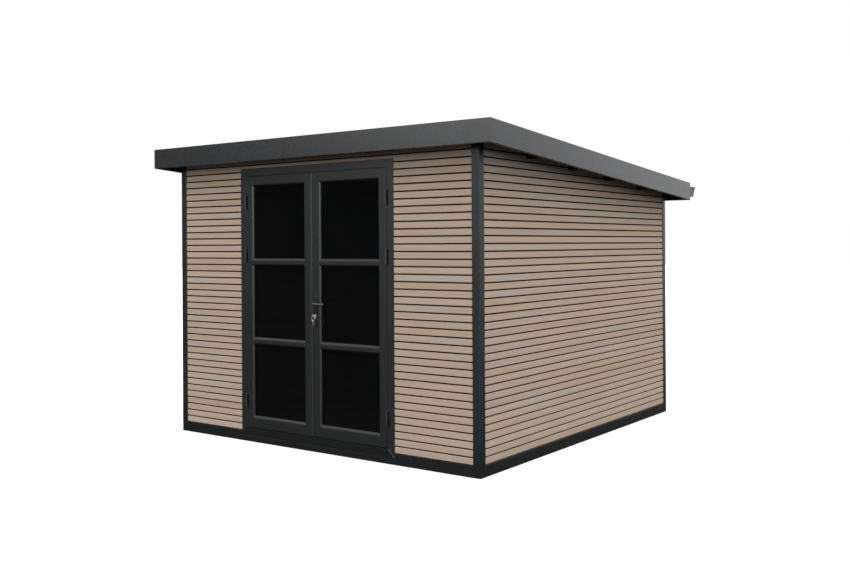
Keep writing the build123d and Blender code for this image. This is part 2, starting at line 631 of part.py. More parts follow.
# -------------------------------------------- lock furniture, right-hand leaf
with BuildPart() as handle_plates:
    with BuildSketch(Plane.XZ.offset(-LEAF_Y0)):
        with Locations((PLATE_X, (PLATE_Z0 + PLATE_Z1) / 2)):
            RectangleRounded(PLATE_W, PLATE_Z1 - PLATE_Z0, 6)
        with Locations((PLATE_X, LEVER_Z)):
            Circle(10, mode=Mode.SUBTRACT)
        with Locations((PLATE_X, CYL_Z)):
            Circle(9, mode=Mode.SUBTRACT)
    extrude(amount=PLATE_T)
    with BuildSketch(Plane.XZ.offset(-LEAF_Y1 - PLATE_T)):
        with Locations((PLATE_X, (PLATE_Z0 + PLATE_Z1) / 2)):
            RectangleRounded(PLATE_W, PLATE_Z1 - PLATE_Z0, 6)
        with Locations((PLATE_X, LEVER_Z)):
            Circle(10, mode=Mode.SUBTRACT)
        with Locations((PLATE_X, CYL_Z)):
            Circle(9, mode=Mode.SUBTRACT)
    extrude(amount=PLATE_T)
handle_plates.part.label = "handle_plates"
export_step(handle_plates.part, "parts/handle_plates.step")

with BuildPart() as lock_cylinders:
    with BuildSketch(Plane.XZ.offset(-LEAF_Y0)):
        with Locations((PLATE_X, CYL_Z)):
            Circle(8.5)
    extrude(amount=PLATE_T + 3)
    with BuildSketch(Plane.XZ.offset(-LEAF_Y1 - PLATE_T - 3)):
        with Locations((PLATE_X, CYL_Z)):
            Circle(8.5)
    extrude(amount=PLATE_T + 3)
lock_cylinders.part.label = "lock_cylinders"
export_step(lock_cylinders.part, "parts/lock_cylinders.step")

# Key in the lock: flat bow, its shank on the cylinder, and a spare key on the ring
KEY_Y = LEAF_Y0 - PLATE_T - 3
with BuildPart() as keys:
    with BuildSketch(Plane.YZ.offset(PLATE_X - 1.25)):
        with Locations((KEY_Y - 4, CYL_Z)):
            Rectangle(8, 8)
        with Locations((KEY_Y - 18, CYL_Z)):
            RectangleRounded(22, 24, 6)
        with Locations((KEY_Y - 23, CYL_Z)):
            Circle(3.2, mode=Mode.SUBTRACT)
    extrude(amount=2.5)
    with BuildSketch(Plane.YZ.offset(PLATE_X + 4)):
        with Locations((KEY_Y - 23, CYL_Z - 38)):
            RectangleRounded(22, 24, 6)
        with Locations((KEY_Y - 23, CYL_Z - 62)):
            Rectangle(8, 28)
        with Locations((KEY_Y - 23, CYL_Z - 31)):
            Circle(3.2, mode=Mode.SUBTRACT)
    extrude(amount=2.5)
keys.part.label = "keys"
export_step(keys.part, "parts/keys.step")

# Lever handle: outer and inner lever on one spindle through the leaf
NECK = 44.0
ARM = 120.0
ARM_R = 8.5
Y_OUT = LEAF_Y0 - PLATE_T - NECK
Y_IN = LEAF_Y1 + PLATE_T + NECK
with BuildPart() as levers:
    with BuildSketch(Plane.XZ.offset(-LEAF_Y0)):
        with Locations((PLATE_X, LEVER_Z)):
            Circle(9)
    extrude(amount=PLATE_T + NECK)
    with BuildSketch(Plane.YZ.offset(PLATE_X - 9)):
        with Locations((Y_OUT, LEVER_Z)):
            RectangleRounded(2 * ARM_R, 2 * ARM_R + 3, 6)
    extrude(amount=ARM + 9)
    with BuildSketch(Plane.XZ.offset(-Y_IN)):
        with Locations((PLATE_X, LEVER_Z)):
            Circle(9)
    extrude(amount=PLATE_T + NECK)
    with BuildSketch(Plane.YZ.offset(PLATE_X - 9)):
        with Locations((Y_IN, LEVER_Z)):
            RectangleRounded(2 * ARM_R, 2 * ARM_R + 3, 6)
    extrude(amount=ARM + 9)
    with BuildSketch(Plane.XZ.offset(-LEAF_Y1)):
        with Locations((PLATE_X, LEVER_Z)):
            Rectangle(8, 8)
    extrude(amount=LEAF_Y1 - LEAF_Y0)
levers.part.label = "levers"
export_step(levers.part, "parts/levers.step")
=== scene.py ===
import bpy, bmesh, math, random, zlib
from mathutils import Matrix, Vector

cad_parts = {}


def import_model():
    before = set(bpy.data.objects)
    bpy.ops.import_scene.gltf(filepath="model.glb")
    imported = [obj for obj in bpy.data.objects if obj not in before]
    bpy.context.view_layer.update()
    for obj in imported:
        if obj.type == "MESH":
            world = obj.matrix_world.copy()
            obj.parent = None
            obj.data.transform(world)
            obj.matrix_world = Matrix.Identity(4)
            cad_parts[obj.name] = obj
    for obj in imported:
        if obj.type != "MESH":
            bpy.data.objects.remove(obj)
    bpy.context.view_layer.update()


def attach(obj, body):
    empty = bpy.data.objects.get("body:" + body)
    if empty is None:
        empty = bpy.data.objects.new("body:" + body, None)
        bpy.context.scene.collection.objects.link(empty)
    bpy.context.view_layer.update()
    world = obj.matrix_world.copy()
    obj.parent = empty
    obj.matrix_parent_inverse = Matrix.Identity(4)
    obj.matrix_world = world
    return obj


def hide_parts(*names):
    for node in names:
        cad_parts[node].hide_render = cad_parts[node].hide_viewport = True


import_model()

# Garden house, single-pitch roof. Lengths below are in millimetres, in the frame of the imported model:
# front with the double door at -Y, roof falling towards +Y, ground at Z 0. Meshes are written in metres.

# ------------------------------------------------------------------ dimensions
HX = HY = 1500.0
POST = 60.0
RAIL_H = 80.0
SLOPE = 0.0762
ROOF_FRONT = 2332.0
FX, FY0, FY1 = 1680.0, -1630.0, 1650.0
FASCIA_H, FASCIA_T, FLANGE, LIP = 158.0, 4.0, 60.0, 25.0
BOARD_BOTTOM, PURLIN_BOTTOM = 26.0, 143.0
PURLIN_Y, PURLIN_W = (-900.0, -300.0, 300.0, 900.0), 50.0
GROOVE_Z, PITCH, GROOVE = 2159.0, 52.0, 10.5
DOOR_X, FZ0, FZ1 = 775.0, 50.0, 2131.0
JAMB, HEAD, SILL = 58.0, 56.0, 56.0
LX0, LX1, LZ0, LZ1 = 4.5, 712.0, 112.0, 2070.0
BARS = ((1375.0, 1430.0), (761.0, 817.0))
PLATE_X, LEVER_Z, CYL_Z = 34.0, 1096.0, 1010.0


def roof(y, drop=0.0):
    return ROOF_FRONT - SLOPE * (y - FY0) - drop


# ------------------------------------------------------------------ mesh code
class Piece:
    """Gathers closed solids in millimetres and makes one mesh object of them."""

    def __init__(self, name, body, mats, slot=None, instead_of=(), smooth=32.0):
        self.name, self.body, self.mats, self.slot = name, body, mats, slot
        self.instead_of, self.smooth = instead_of, smooth
        self.v, self.f, self.g, self.t, self.m = [], [], [], [], []
        self.rng = random.Random(zlib.crc32(name.encode()))

    def add(self, shape, grain="x", tone=None, mat=0, keep=False):
        verts, faces = shape
        base = len(self.v)
        r = self.rng.random
        off = (0.0, 0.0, 0.0) if keep else (r() * 40, r() * 40, r() * 40)
        tone = r() if tone is None else tone
        a, b, c = {"x": (0, 1, 2), "y": (1, 0, 2), "z": (2, 0, 1)}[grain]
        for p in verts:
            self.v.append((p[0] * 0.001, p[1] * 0.001, p[2] * 0.001))
            self.g.append((p[a] * 0.001 + off[0], p[b] * 0.001 + off[1], p[c] * 0.001 + off[2]))
            self.t.append(tone)
        self.f += [tuple(base + i for i in f) for f in faces]
        self.m += [mat] * len(faces)
        return self

    def done(self):
        me = bpy.data.meshes.new(self.name)
        me.from_pydata(self.v, [], self.f)
        for m in self.mats:
            me.materials.append(m)
        me.polygons.foreach_set("material_index", self.m)
        at = me.attributes.new("gp", "FLOAT_VECTOR", "POINT")
        at.data.foreach_set("vector", [c for g in self.g for c in g])
        at = me.attributes.new("tone", "FLOAT", "POINT")
        at.data.foreach_set("value", self.t)
        bm = bmesh.new()
        bm.from_mesh(me)
        bmesh.ops.recalc_face_normals(bm, faces=bm.faces)
        bm.to_mesh(me)
        bm.free()
        me.shade_smooth()
        me.set_sharp_from_angle(angle=math.radians(self.smooth))
        me.validate()
        ob = bpy.data.objects.new(self.name, me)
        bpy.context.scene.collection.objects.link(ob)
        even = ob.modifiers.new("flat_faces_stay_flat", "WEIGHTED_NORMAL")
        even.mode, even.weight, even.keep_sharp = "FACE_AREA", 50, True
        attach(ob, self.body)
        if self.instead_of:
            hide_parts(*self.instead_of)
        return ob


def cbox(x0, x1, y0, y1, z0, z1, c=1.2):
    """Box with every edge chamfered by c."""
    xs, ys, zs = (x0, x1), (y0, y1), (z0, z1)
    v, f = [], []
    for i in (0, 1):
        for j in (0, 1):
            for k in (0, 1):
                x, y, z = xs[i], ys[j], zs[k]
                ax, ay, az = x + (1 - 2 * i) * c, y + (1 - 2 * j) * c, z + (1 - 2 * k) * c
                v += [(x, ay, az), (ax, y, az), (ax, ay, z)]

    def n(i, j, k, a):
        return ((i * 2 + j) * 2 + k) * 3 + a

    for i in (0, 1):
        f.append((n(i, 0, 0, 0), n(i, 1, 0, 0), n(i, 1, 1, 0), n(i, 0, 1, 0)))
        f.append((n(0, i, 0, 1), n(1, i, 0, 1), n(1, i, 1, 1), n(0, i, 1, 1)))
        f.append((n(0, 0, i, 2), n(1, 0, i, 2), n(1, 1, i, 2), n(0, 1, i, 2)))
    for j in (0, 1):
        for k in (0, 1):
            f.append((n(0, j, k, 1), n(1, j, k, 1), n(1, j, k, 2), n(0, j, k, 2)))
            f.append((n(j, 0, k, 0), n(j, 1, k, 0), n(j, 1, k, 2), n(j, 0, k, 2)))
            f.append((n(j, k, 0, 0), n(j, k, 1, 0), n(j, k, 1, 1), n(j, k, 0, 1)))
            for i in (0, 1):
                f.append((n(i, j, k, 0), n(i, j, k, 1), n(i, j, k, 2)))
    return v, f


def loft(rings, caps=True, wrap=False):
    """Skin over rings of equally many points."""
    n = len(rings[0])
    v = [tuple(p) for r in rings for p in r]
    f = []
    m = len(rings)
    for a in range(m if wrap else m - 1):
        b = (a + 1) % m
        for i in range(n):
            j = (i + 1) % n
            f.append((a * n + i, a * n + j, b * n + j, b * n + i))
    if caps and not wrap:
        f.append(tuple(range(n)))
        f.append(tuple((m - 1) * n + i for i in range(n)))
    return v, f


def rounded(pts, radii, seg=3):
    """Closed outline with its corners rounded."""
    if not hasattr(radii, "__len__"):
        radii = [radii] * len(pts)
    out, n = [], len(pts)
    for i in range(n):
        r = radii[i]
        p = Vector(pts[i])
        if r <= 0:
            out.append(tuple(p))
            continue
        a = (Vector(pts[i - 1]) - p).normalized()
        b = (Vector(pts[(i + 1) % n]) - p).normalized()
        half = a.angle(b) / 2
        d = r / math.tan(half)
        c = p + (a + b).normalized() * (r / math.sin(half))
        s, e = p + a * d - c, p + b * d - c
        total = s.angle(e)
        for k in range(seg + 1):
            t = k / seg
            q = (s * math.sin((1 - t) * total) + e * math.sin(t * total)) / math.sin(total)
            out.append(tuple(c + q))
    return out


def inset(pts, c):
    """Outline moved inwards by c."""
    n = len(pts)
    area = sum(pts[i - 1][0] * pts[i][1] - pts[i][0] * pts[i - 1][1] for i in range(n))
    s = 1 if area > 0 else -1
    out = []
    for i in range(n):
        p, a, b = Vector(pts[i]), Vector(pts[i - 1]), Vector(pts[(i + 1) % n])
        u, w = (p - a).normalized(), (b - p).normalized()
        nu, nw = Vector((-u.y, u.x)) * s, Vector((-w.y, w.x)) * s
        k = 1 + nu.dot(nw)
        out.append(tuple(p + (nu + nw) * (c / max(k, 0.2))))
    return out


def plate(pts, place, d0, d1, c=1.2, back=False):
    """Flat outline from depth d0 to d1, its front edge (and back edge) chamfered."""
    ins = inset(pts, c)
    rings = [[place(u, w, d0) for u, w in ins], [place(u, w, d0 + c) for u, w in pts]]
    if back:
        rings += [[place(u, w, d1 - c) for u, w in pts], [place(u, w, d1) for u, w in ins]]
    else:
        rings.append([place(u, w, d1) for u, w in pts])
    return loft(rings)


def circle(r, n, start=0.0):
    return [(r * math.cos(start + 2 * math.pi * i / n), r * math.sin(start + 2 * math.pi * i / n)) for i in range(n)]


def along(path, sections, up=(0, 0, 1)):
    """Rings of a flat section carried along a path; sections is one outline or one for each point."""
    p = [Vector(q) for q in path]
    n = len(p)
    tan = [(p[min(i + 1, n - 1)] - p[max(i - 1, 0)]).normalized() for i in range(n)]
    side = tan[0].cross(Vector(up))
    if side.length < 1e-4:
        side = tan[0].cross(Vector((1, 0, 0)))
    side.normalize()
    rings = []
    for i in range(n):
        if i:
            side = (side - tan[i] * side.dot(tan[i])).normalized()
        top = side.cross(tan[i])
        s = sections if isinstance(sections[0][0], (int, float)) else sections[i]
        rings.append([tuple(p[i] + side * u + top * w) for u, w in s])
    return rings


def rod(path, r, n=12, up=(0, 0, 1)):
    r = r if hasattr(r, "__len__") else [r] * len(path)
    return loft(along(path, [circle(q, n) for q in r], up))


def pipe(path, ro, ri, n=20, up=(0, 0, 1)):
    """Open-ended round pipe with its wall."""
    outer = along(path, [circle(ro, n)] * len(path), up)
    inner = along(path, [circle(ri, n)] * len(path), up)
    return loft(outer + inner[::-1], wrap=True)


def turned(profile, centre, axis, n=20):
    """Turned form: profile of (radius, distance along the axis)."""
    a = Vector(axis).normalized()
    s = a.cross(Vector((0, 0, 1)) if abs(a.z) < 0.9 else Vector((1, 0, 0))).normalized()
    t = a.cross(s)
    c = Vector(centre)
    return loft([[tuple(c + a * h + (s * x + t * y)) for x, y in circle(max(r, 0.05), n)] for r, h in profile])


def bend(points, radii, seg=6):
    """Path with rounded corners in space."""
    p = [Vector(q) for q in points]
    out = [p[0]]
    for i in range(1, len(p) - 1):
        a, b = (p[i - 1] - p[i]).normalized(), (p[i + 1] - p[i]).normalized()
        half = a.angle(b) / 2
        r = radii if isinstance(radii, (int, float)) else radii[i - 1]
        d = r / math.tan(half)
        c = p[i] + (a + b).normalized() * (r / math.sin(half))
        s, e = p[i] + a * d - c, p[i] + b * d - c
        total = s.angle(e)
        for k in range(seg + 1):
            t = k / seg
            out.append(c + (s * math.sin((1 - t) * total) + e * math.sin(t * total)) / math.sin(total))
    out.append(p[-1])
    return [tuple(q) for q in out]


def under(z0, z1, ya, yb, breaks, top):
    """Outlines of the strip from z0 up to z1 or to top(y), whichever is lower, between ya and yb. breaks holds the places where top() jumps."""
    cuts = sorted({ya, yb, *[b for b in breaks if ya < b < yb]})
    chains, run = [], []
    for a, b in zip(cuts, cuts[1:]):
        e = 1e-6
        fa, fb = top(a + e), top(b - e)
        knots = [a, b]
        for level in (z1, z0 + 4.0):
            if (fa - level) * (fb - level) < 0:
                knots.append(a + (b - a) * (level - fa) / (fb - fa))
        knots.sort()
        for p, q in zip(knots, knots[1:]):
            hp = min(z1, fa + (fb - fa) * (p - a) / (b - a))
            hq = min(z1, fa + (fb - fa) * (q - a) / (b - a))
            if (hp + hq) / 2 < z0 + 4.0:
                if run:
                    chains.append(run)
                run = []
                continue
            if run and abs(run[-1][0] - p) < 1e-3 and abs(run[-1][1] - hp) < 1e-3:
                run.append((q, hq))
            else:
                run += [(p, hp), (q, hq)]
    if run:
        chains.append(run)
    out = []
    for c in chains:
        keep = []
        for k, pt in enumerate(c):
            if 0 < k < len(c) - 1:
                (x0, y0), (x1, y1), (x2, y2) = c[k - 1], pt, c[k + 1]
                if abs((x1 - x0) * (y2 - y0) - (x2 - x0) * (y1 - y0)) < 1e-2:
                    continue
            keep.append(pt)
        out.append([(keep[0][0], z0), (keep[-1][0], z0)] + keep[::-1])
    return out


# ------------------------------------------------------------------ materials
def new_mat(name):
    m = bpy.data.materials.new(name)
    m.use_nodes = True
    nt = m.node_tree
    nt.nodes.clear()
    out = nt.nodes.new("ShaderNodeOutputMaterial")
    bsdf = nt.nodes.new("ShaderNodeBsdfPrincipled")
    nt.links.new(bsdf.outputs[0], out.inputs[0])
    return m, nt, bsdf


class Graph:
    """Short calls for shader nodes."""

    def __init__(self, nt):
        self.nt = nt

    def node(self, kind, **props):
        n = self.nt.nodes.new(kind)
        for k, val in props.items():
            setattr(n, k, val)
        return n

    def put(self, socket, value):
        if isinstance(value, bpy.types.NodeSocket):
            self.nt.links.new(value, socket)
        else:
            socket.default_value = value

    def attr(self, name, out):
        return self.node("ShaderNodeAttribute", attribute_name=name).outputs[out]

    def coord(self):
        return self.node("ShaderNodeTexCoord").outputs["Object"]

    def scale(self, vec, s, offset=(0, 0, 0)):
        n = self.node("ShaderNodeMapping")
        self.put(n.inputs["Vector"], vec)
        n.inputs["Scale"].default_value = s
        n.inputs["Location"].default_value = offset
        return n.outputs[0]

    def noise(self, vec, scale=1.0, detail=2.0, rough=0.5, dist=0.0, out="Fac"):
        n = self.node("ShaderNodeTexNoise")
        self.put(n.inputs["Vector"], vec)
        n.inputs["Scale"].default_value = scale
        n.inputs["Detail"].default_value = detail
        n.inputs["Roughness"].default_value = rough
        n.inputs["Distortion"].default_value = dist
        return n.outputs[out]

    def voronoi(self, vec, scale=1.0, feature="F1", out="Distance"):
        n = self.node("ShaderNodeTexVoronoi", feature=feature)
        self.put(n.inputs["Vector"], vec)
        n.inputs["Scale"].default_value = scale
        return n.outputs[out]

    def math(self, op, a, b=0.0, c=0.0, clamp=False):
        n = self.node("ShaderNodeMath", operation=op, use_clamp=clamp)
        self.put(n.inputs[0], a)
        self.put(n.inputs[1], b)
        self.put(n.inputs[2], c)
        return n.outputs[0]

    def fit(self, x, a, b, lo=0.0, hi=1.0, smooth=False):
        n = self.node("ShaderNodeMapRange", interpolation_type="SMOOTHSTEP" if smooth else "LINEAR")
        self.put(n.inputs["Value"], x)
        self.put(n.inputs["From Min"], a)
        self.put(n.inputs["From Max"], b)
        self.put(n.inputs["To Min"], lo)
        self.put(n.inputs["To Max"], hi)
        return n.outputs[0]

    def ramp(self, x, stops):
        n = self.node("ShaderNodeValToRGB")
        self.put(n.inputs[0], x)
        e = n.color_ramp.elements
        while len(e) < len(stops):
            e.new(0.5)
        for el, (pos, col) in zip(e, stops):
            el.position = pos
            el.color = (*col, 1)
        return n.outputs[0]

    def mix(self, fac, a, b, kind="MIX"):
        n = self.node("ShaderNodeMix", data_type="RGBA", blend_type=kind)
        self.put(n.inputs["Factor"], fac)
        for s, val in ((n.inputs[6], a), (n.inputs[7], b)):
            self.put(s, (*val, 1) if isinstance(val, tuple) and len(val) == 3 else val)
        return n.outputs[2]

    def split(self, vec):
        n = self.node("ShaderNodeSeparateXYZ")
        self.put(n.inputs[0], vec)
        return n.outputs

    def bump(self, height, strength, distance, base=None):
        n = self.node("ShaderNodeBump")
        n.inputs["Strength"].default_value = strength
        n.inputs["Distance"].default_value = distance
        self.put(n.inputs["Height"], height)
        if base is not None:
            self.put(n.inputs["Normal"], base)
        return n.outputs[0]


def scaled(c, k):
    return tuple(min(1.0, x * k) for x in c)


def wood(name, colour, spread=0.22, slat=0.14, rough=0.62, fine=1.0, knots=0.0, bump=0.35, hue=0.5, spec=0.3):
    """Board with lengthwise grain: gp holds the place along, across and through the board, tone a number for each board."""
    m, nt, b = new_mat(name)
    g = Graph(nt)
    gp = g.attr("gp", "Vector")
    tone = g.attr("tone", "Fac")
    hair = g.noise(g.scale(gp, (3.0, 620 * fine, 620 * fine)), detail=3, rough=0.65)
    line = g.noise(g.scale(gp, (0.9, 150 * fine, 150 * fine)), detail=3, rough=0.6, dist=0.25)
    band = g.noise(g.scale(gp, (0.45, 38 * fine, 38 * fine)), detail=2, rough=0.5, dist=0.4)
    cloud = g.noise(g.scale(gp, (1.3, 5, 5)), detail=3, rough=0.55)
    x = g.math("ADD", g.math("MULTIPLY", g.math("SUBTRACT", hair, 0.5), 0.55), g.math("MULTIPLY", g.math("SUBTRACT", line, 0.5), 0.9))
    x = g.math("ADD", x, g.math("MULTIPLY", g.math("SUBTRACT", band, 0.5), 0.7))
    x = g.math("ADD", x, g.math("MULTIPLY", g.math("SUBTRACT", cloud, 0.5), 0.6))
    fac = g.math("ADD", g.math("MULTIPLY", x, 1.0), 0.5, clamp=True)
    warm = (colour[0] * (1 + 0.035 * hue), colour[1] * 0.985, colour[2] * (1 - 0.06 * hue))
    cool = (colour[0] * (1 - 0.03 * hue), colour[1] * 1.005, colour[2] * (1 + 0.05 * hue))
    col = g.ramp(fac, [(0.0, scaled(colour, 1 - 1.6 * spread)), (0.32, scaled(warm, 1 - 0.55 * spread)), (0.55, colour), (0.8, scaled(cool, 1 + 0.45 * spread)), (1.0, scaled(cool, 1 + 0.9 * spread))])
    shade = g.fit(tone, 0.0, 1.0, 1 - slat, 1 + slat)
    tint = g.mix(g.fit(g.noise(g.scale(gp, (0.35, 0.8, 0.8), (7, 3, 1)), detail=1), 0.35, 0.65), scaled((1.03, 0.985, 0.95), 0.97), (0.96, 1.0, 1.03))
    col = g.mix(0.85, col, tint, "MULTIPLY")
    grey = g.node("ShaderNodeCombineColor")
    for i in range(3):
        g.put(grey.inputs[i], shade)
    col = g.mix(1.0, col, grey.outputs[0], "MULTIPLY")
    if knots:
        kn = g.voronoi(g.scale(gp, (2.2, 9, 9)), out="Distance")
        kmask = g.fit(kn, 0.02, 0.16, knots, 0.0, smooth=True)
        col = g.mix(kmask, col, scaled(colour, 0.32))
    g.put(b.inputs["Base Color"], col)
    g.put(b.inputs["Roughness"], g.fit(hair, 0.3, 0.7, rough - 0.07, rough + 0.07))
    b.inputs["Specular IOR Level"].default_value = spec
    h = g.math("ADD", g.math("MULTIPLY", hair, 0.6), g.math("MULTIPLY", line, 1.0))
    g.put(b.inputs["Normal"], g.bump(h, bump, 0.0006))
    return m


def coat(name, colour, rough=0.42, spec=0.5, peel=0.12, mottle=0.06, grain=0.0, dust=0.0, ground_shade=0.0):
    """Powder-coated metal or lacquered profile: fine peel, slight mottling, a little dust on faces that look up, and
    painted shade near the ground (colour darker and specular weaker towards the bottom).
    """
    m, nt, b = new_mat(name)
    g = Graph(nt)
    co = g.coord()
    fine = g.noise(g.scale(co, (1, 1, 1)), scale=900.0, detail=2, rough=0.6)
    soft = g.noise(co, scale=5.0, detail=4, rough=0.6)
    spot = g.noise(co, scale=60.0, detail=3, rough=0.65)
    x = g.math("ADD", g.math("MULTIPLY", g.math("SUBTRACT", soft, 0.5), 1.3), g.math("MULTIPLY", g.math("SUBTRACT", spot, 0.5), 0.7))
    if grain:
        gp = g.attr("gp", "Vector")
        brush = g.noise(g.scale(gp, (2.0, 420, 420)), detail=3, rough=0.6)
        x = g.math("ADD", x, g.math("MULTIPLY", g.math("SUBTRACT", brush, 0.5), grain))
    col = g.ramp(g.math("ADD", x, 0.5, clamp=True), [(0.0, scaled(colour, 1 - 3 * mottle)), (0.5, colour), (1.0, scaled(colour, 1 + 3 * mottle))])
    if dust:
        nz = g.split(g.node("ShaderNodeNewGeometry").outputs["Normal"])[2]
        d = g.math("MULTIPLY", g.fit(nz, 0.55, 0.98), g.fit(soft, 0.3, 0.75, 0.35, 1.0))
        col = g.mix(g.math("MULTIPLY", d, dust), col, (0.30, 0.29, 0.27))
    g.put(b.inputs["Roughness"], g.fit(spot, 0.25, 0.75, rough - 0.05, rough + 0.05))
    if ground_shade:
        # painted shade: colour darkened and specular weakened towards the ground
        z = g.math("ADD", g.split(co)[2], g.math("MULTIPLY", g.math("SUBTRACT", soft, 0.5), 0.06))
        ground_shade_mask = g.fit(z, 0.03, 0.42, ground_shade, 0.0, smooth=True)
        col = g.mix(ground_shade_mask, col, scaled(colour, 0.55))
        g.put(b.inputs["Specular IOR Level"], g.math("MULTIPLY", g.math("SUBTRACT", 1.0, g.math("MULTIPLY", ground_shade_mask, 0.75)), spec))
    else:
        b.inputs["Specular IOR Level"].default_value = spec
    g.put(b.inputs["Base Color"], col)
    g.put(b.inputs["Normal"], g.bump(fine, peel, 0.0004))
    return m


def metal(name, colour, rough=0.3, wear=0.06):
    m, nt, b = new_mat(name)
    g = Graph(nt)
    co = g.coord()
    s = g.noise(co, scale=180.0, detail=4, rough=0.65)
    g.put(b.inputs["Base Color"], g.ramp(s, [(0.2, scaled(colour, 1 - wear * 2)), (0.8, scaled(colour, 1 + wear))]))
    g.put(b.inputs["Roughness"], g.fit(s, 0.3, 0.7, rough - 0.06, rough + 0.1))
    b.inputs["Metallic"].default_value = 1.0
    g.put(b.inputs["Normal"], g.bump(g.noise(co, scale=1400.0, detail=2), 0.08, 0.0002))
    return m


SLAT = wood("slat_oak_brown", (0.430, 0.330, 0.258), spread=0.15, slat=0.03, rough=0.60, bump=0.30, hue=1.3, spec=0.5)
LINING = wood("lining_spruce", (0.50, 0.36, 0.215), spread=0.18, slat=0.07, rough=0.58, fine=0.5, knots=0.75, bump=0.2)
FLOOR = wood("floor_planks", (0.335, 0.235, 0.145), spread=0.22, slat=0.10, rough=0.5, fine=0.5, knots=0.6, bump=0.3)
TIMBER = wood("planed_timber", (0.42, 0.315, 0.195), spread=0.2, slat=0.06, rough=0.62, fine=0.45, knots=0.7, bump=0.3)
STAIN = wood("dark_stained_timber", (0.021, 0.019, 0.018), spread=0.35, slat=0.10, rough=0.55, fine=0.45, bump=0.4, hue=0.2, spec=0.25)
# backing board coloured near-black: painted shade for the grooves between the slats
GROOVE_SHADE_BOARD = wood("backing_board_painted_groove_shade", (0.030, 0.021, 0.016), spread=0.3, slat=0.05, rough=0.85, fine=0.6, bump=0.2, hue=0.2, spec=0.15)
# ground_shade sets how much painted shade darkens the coat near the ground
COAT = coat("anthracite_coat", (0.0128, 0.0134, 0.0144), rough=0.36, spec=0.58, dust=0.06, ground_shade=0.52)
DOOR = coat("door_lacquer", (0.0145, 0.0151, 0.0159), rough=0.33, spec=0.62, peel=0.06)
# sill lacquer: a darker, less glossy copy of the door lacquer, painted shade on the sill
SILL_SHADED = coat("sill_lacquer_painted_shade", (0.0125, 0.0130, 0.0138), rough=0.40, spec=0.40, peel=0.06, ground_shade=0.55)
# two copies of one bead lacquer: level beads darker and duller (painted shade), upright beads lighter and glossier
# (painted highlight)
BEAD_LEVEL_SHADED = coat("bead_lacquer_level_painted_shade", (0.0115, 0.0120, 0.0127), rough=0.38, spec=0.34, peel=0.0)
BEAD_UPRIGHT_LIT = coat("bead_lacquer_upright_painted_highlight", (0.0170, 0.0176, 0.0185), rough=0.30, spec=1.0, peel=0.0)
FASCIA = coat("fascia_sheet", (0.0240, 0.0248, 0.0262), rough=0.27, spec=0.90, peel=0.0, mottle=0.02, grain=0.3, dust=0.10)
GUTTER_M = coat("gutter_sheet", (0.036, 0.037, 0.039), rough=0.38, spec=0.5, peel=0.1, mottle=0.05, dust=0.15)
HINGE_M = coat("hinge_coat", (0.030, 0.031, 0.033), rough=0.30, spec=0.6, peel=0.05)
# near-black finish used as painted shade: hinge wings beside the barrels, the back plate's edge, the gap under the
# leaves
SHADE_BLACK = coat("near_black_painted_shade", (0.0030, 0.0030, 0.0033), rough=0.5, spec=0.10, peel=0.05)
HANDLE = coat("handle_coat", (0.016, 0.0165, 0.018), rough=0.24, spec=1.0, peel=0.03)
PLATE_M = coat("back_plate_coat", (0.0125, 0.013, 0.014), rough=0.30, spec=0.60, peel=0.03)
# black rubber for the seals and gaskets; also used for the keyway mark, which is painted shade
RUBBER_AND_KEYWAY_SHADE = coat("rubber_seal_and_keyway_shade", (0.006, 0.006, 0.0065), rough=0.7, spec=0.2, peel=0.2)
BRASS = metal("cylinder_brass", (0.92, 0.70, 0.34), rough=0.34)
STEEL = metal("key_nickel", (0.95, 0.95, 0.96), rough=0.46)
SCREW = metal("screw_steel", (0.10, 0.10, 0.105), rough=0.38)
ALU = metal("bare_aluminium", (0.62, 0.63, 0.66), rough=0.34)


def glass_mat():
    m, nt, b = new_mat("tinted_glass")
    g = Graph(nt)
    co = g.coord()
    film = g.noise(g.scale(co, (1, 1, 0.6)), scale=3.0, detail=3, rough=0.55)
    g.put(b.inputs["Base Color"], g.ramp(film, [(0.3, (0.0030, 0.0036, 0.0042)), (0.7, (0.0048, 0.0052, 0.0052))]))
    g.put(b.inputs["Roughness"], g.fit(g.noise(co, scale=9.0, detail=5, rough=0.7), 0.35, 0.8, 0.015, 0.06))
    b.inputs["IOR"].default_value = 1.48
    b.inputs["Alpha"].default_value = 0.62
    b.inputs["Specular IOR Level"].default_value = 0.42
    g.put(b.inputs["Normal"], g.bump(g.noise(co, scale=1.6, detail=1), 0.02, 0.01))
    return m


GLASS = glass_mat()


def felt_mat():
    """Mineral-surfaced roofing felt."""
    m, nt, b = new_mat("roofing_felt")
    g = Graph(nt)
    co = g.coord()
    grit = g.voronoi(co, scale=420.0, out="Color")
    gv = g.split(grit)[0]
    big = g.noise(co, scale=1.6, detail=5, rough=0.6)
    run = g.noise(g.scale(co, (9, 0.8, 1)), detail=3, rough=0.6)
    x = g.math("ADD", g.math("MULTIPLY", gv, 0.55), g.math("ADD", g.math("MULTIPLY", big, 0.45), g.math("MULTIPLY", run, 0.25)))
    g.put(b.inputs["Base Color"], g.ramp(x, [(0.2, (0.014, 0.0145, 0.015)), (0.6, (0.040, 0.041, 0.043)), (1.0, (0.085, 0.087, 0.09))]))
    b.inputs["Roughness"].default_value = 0.92
    b.inputs["Specular IOR Level"].default_value = 0.25
    g.put(b.inputs["Normal"], g.bump(gv, 0.5, 0.0012))
    return m


FELT = felt_mat()


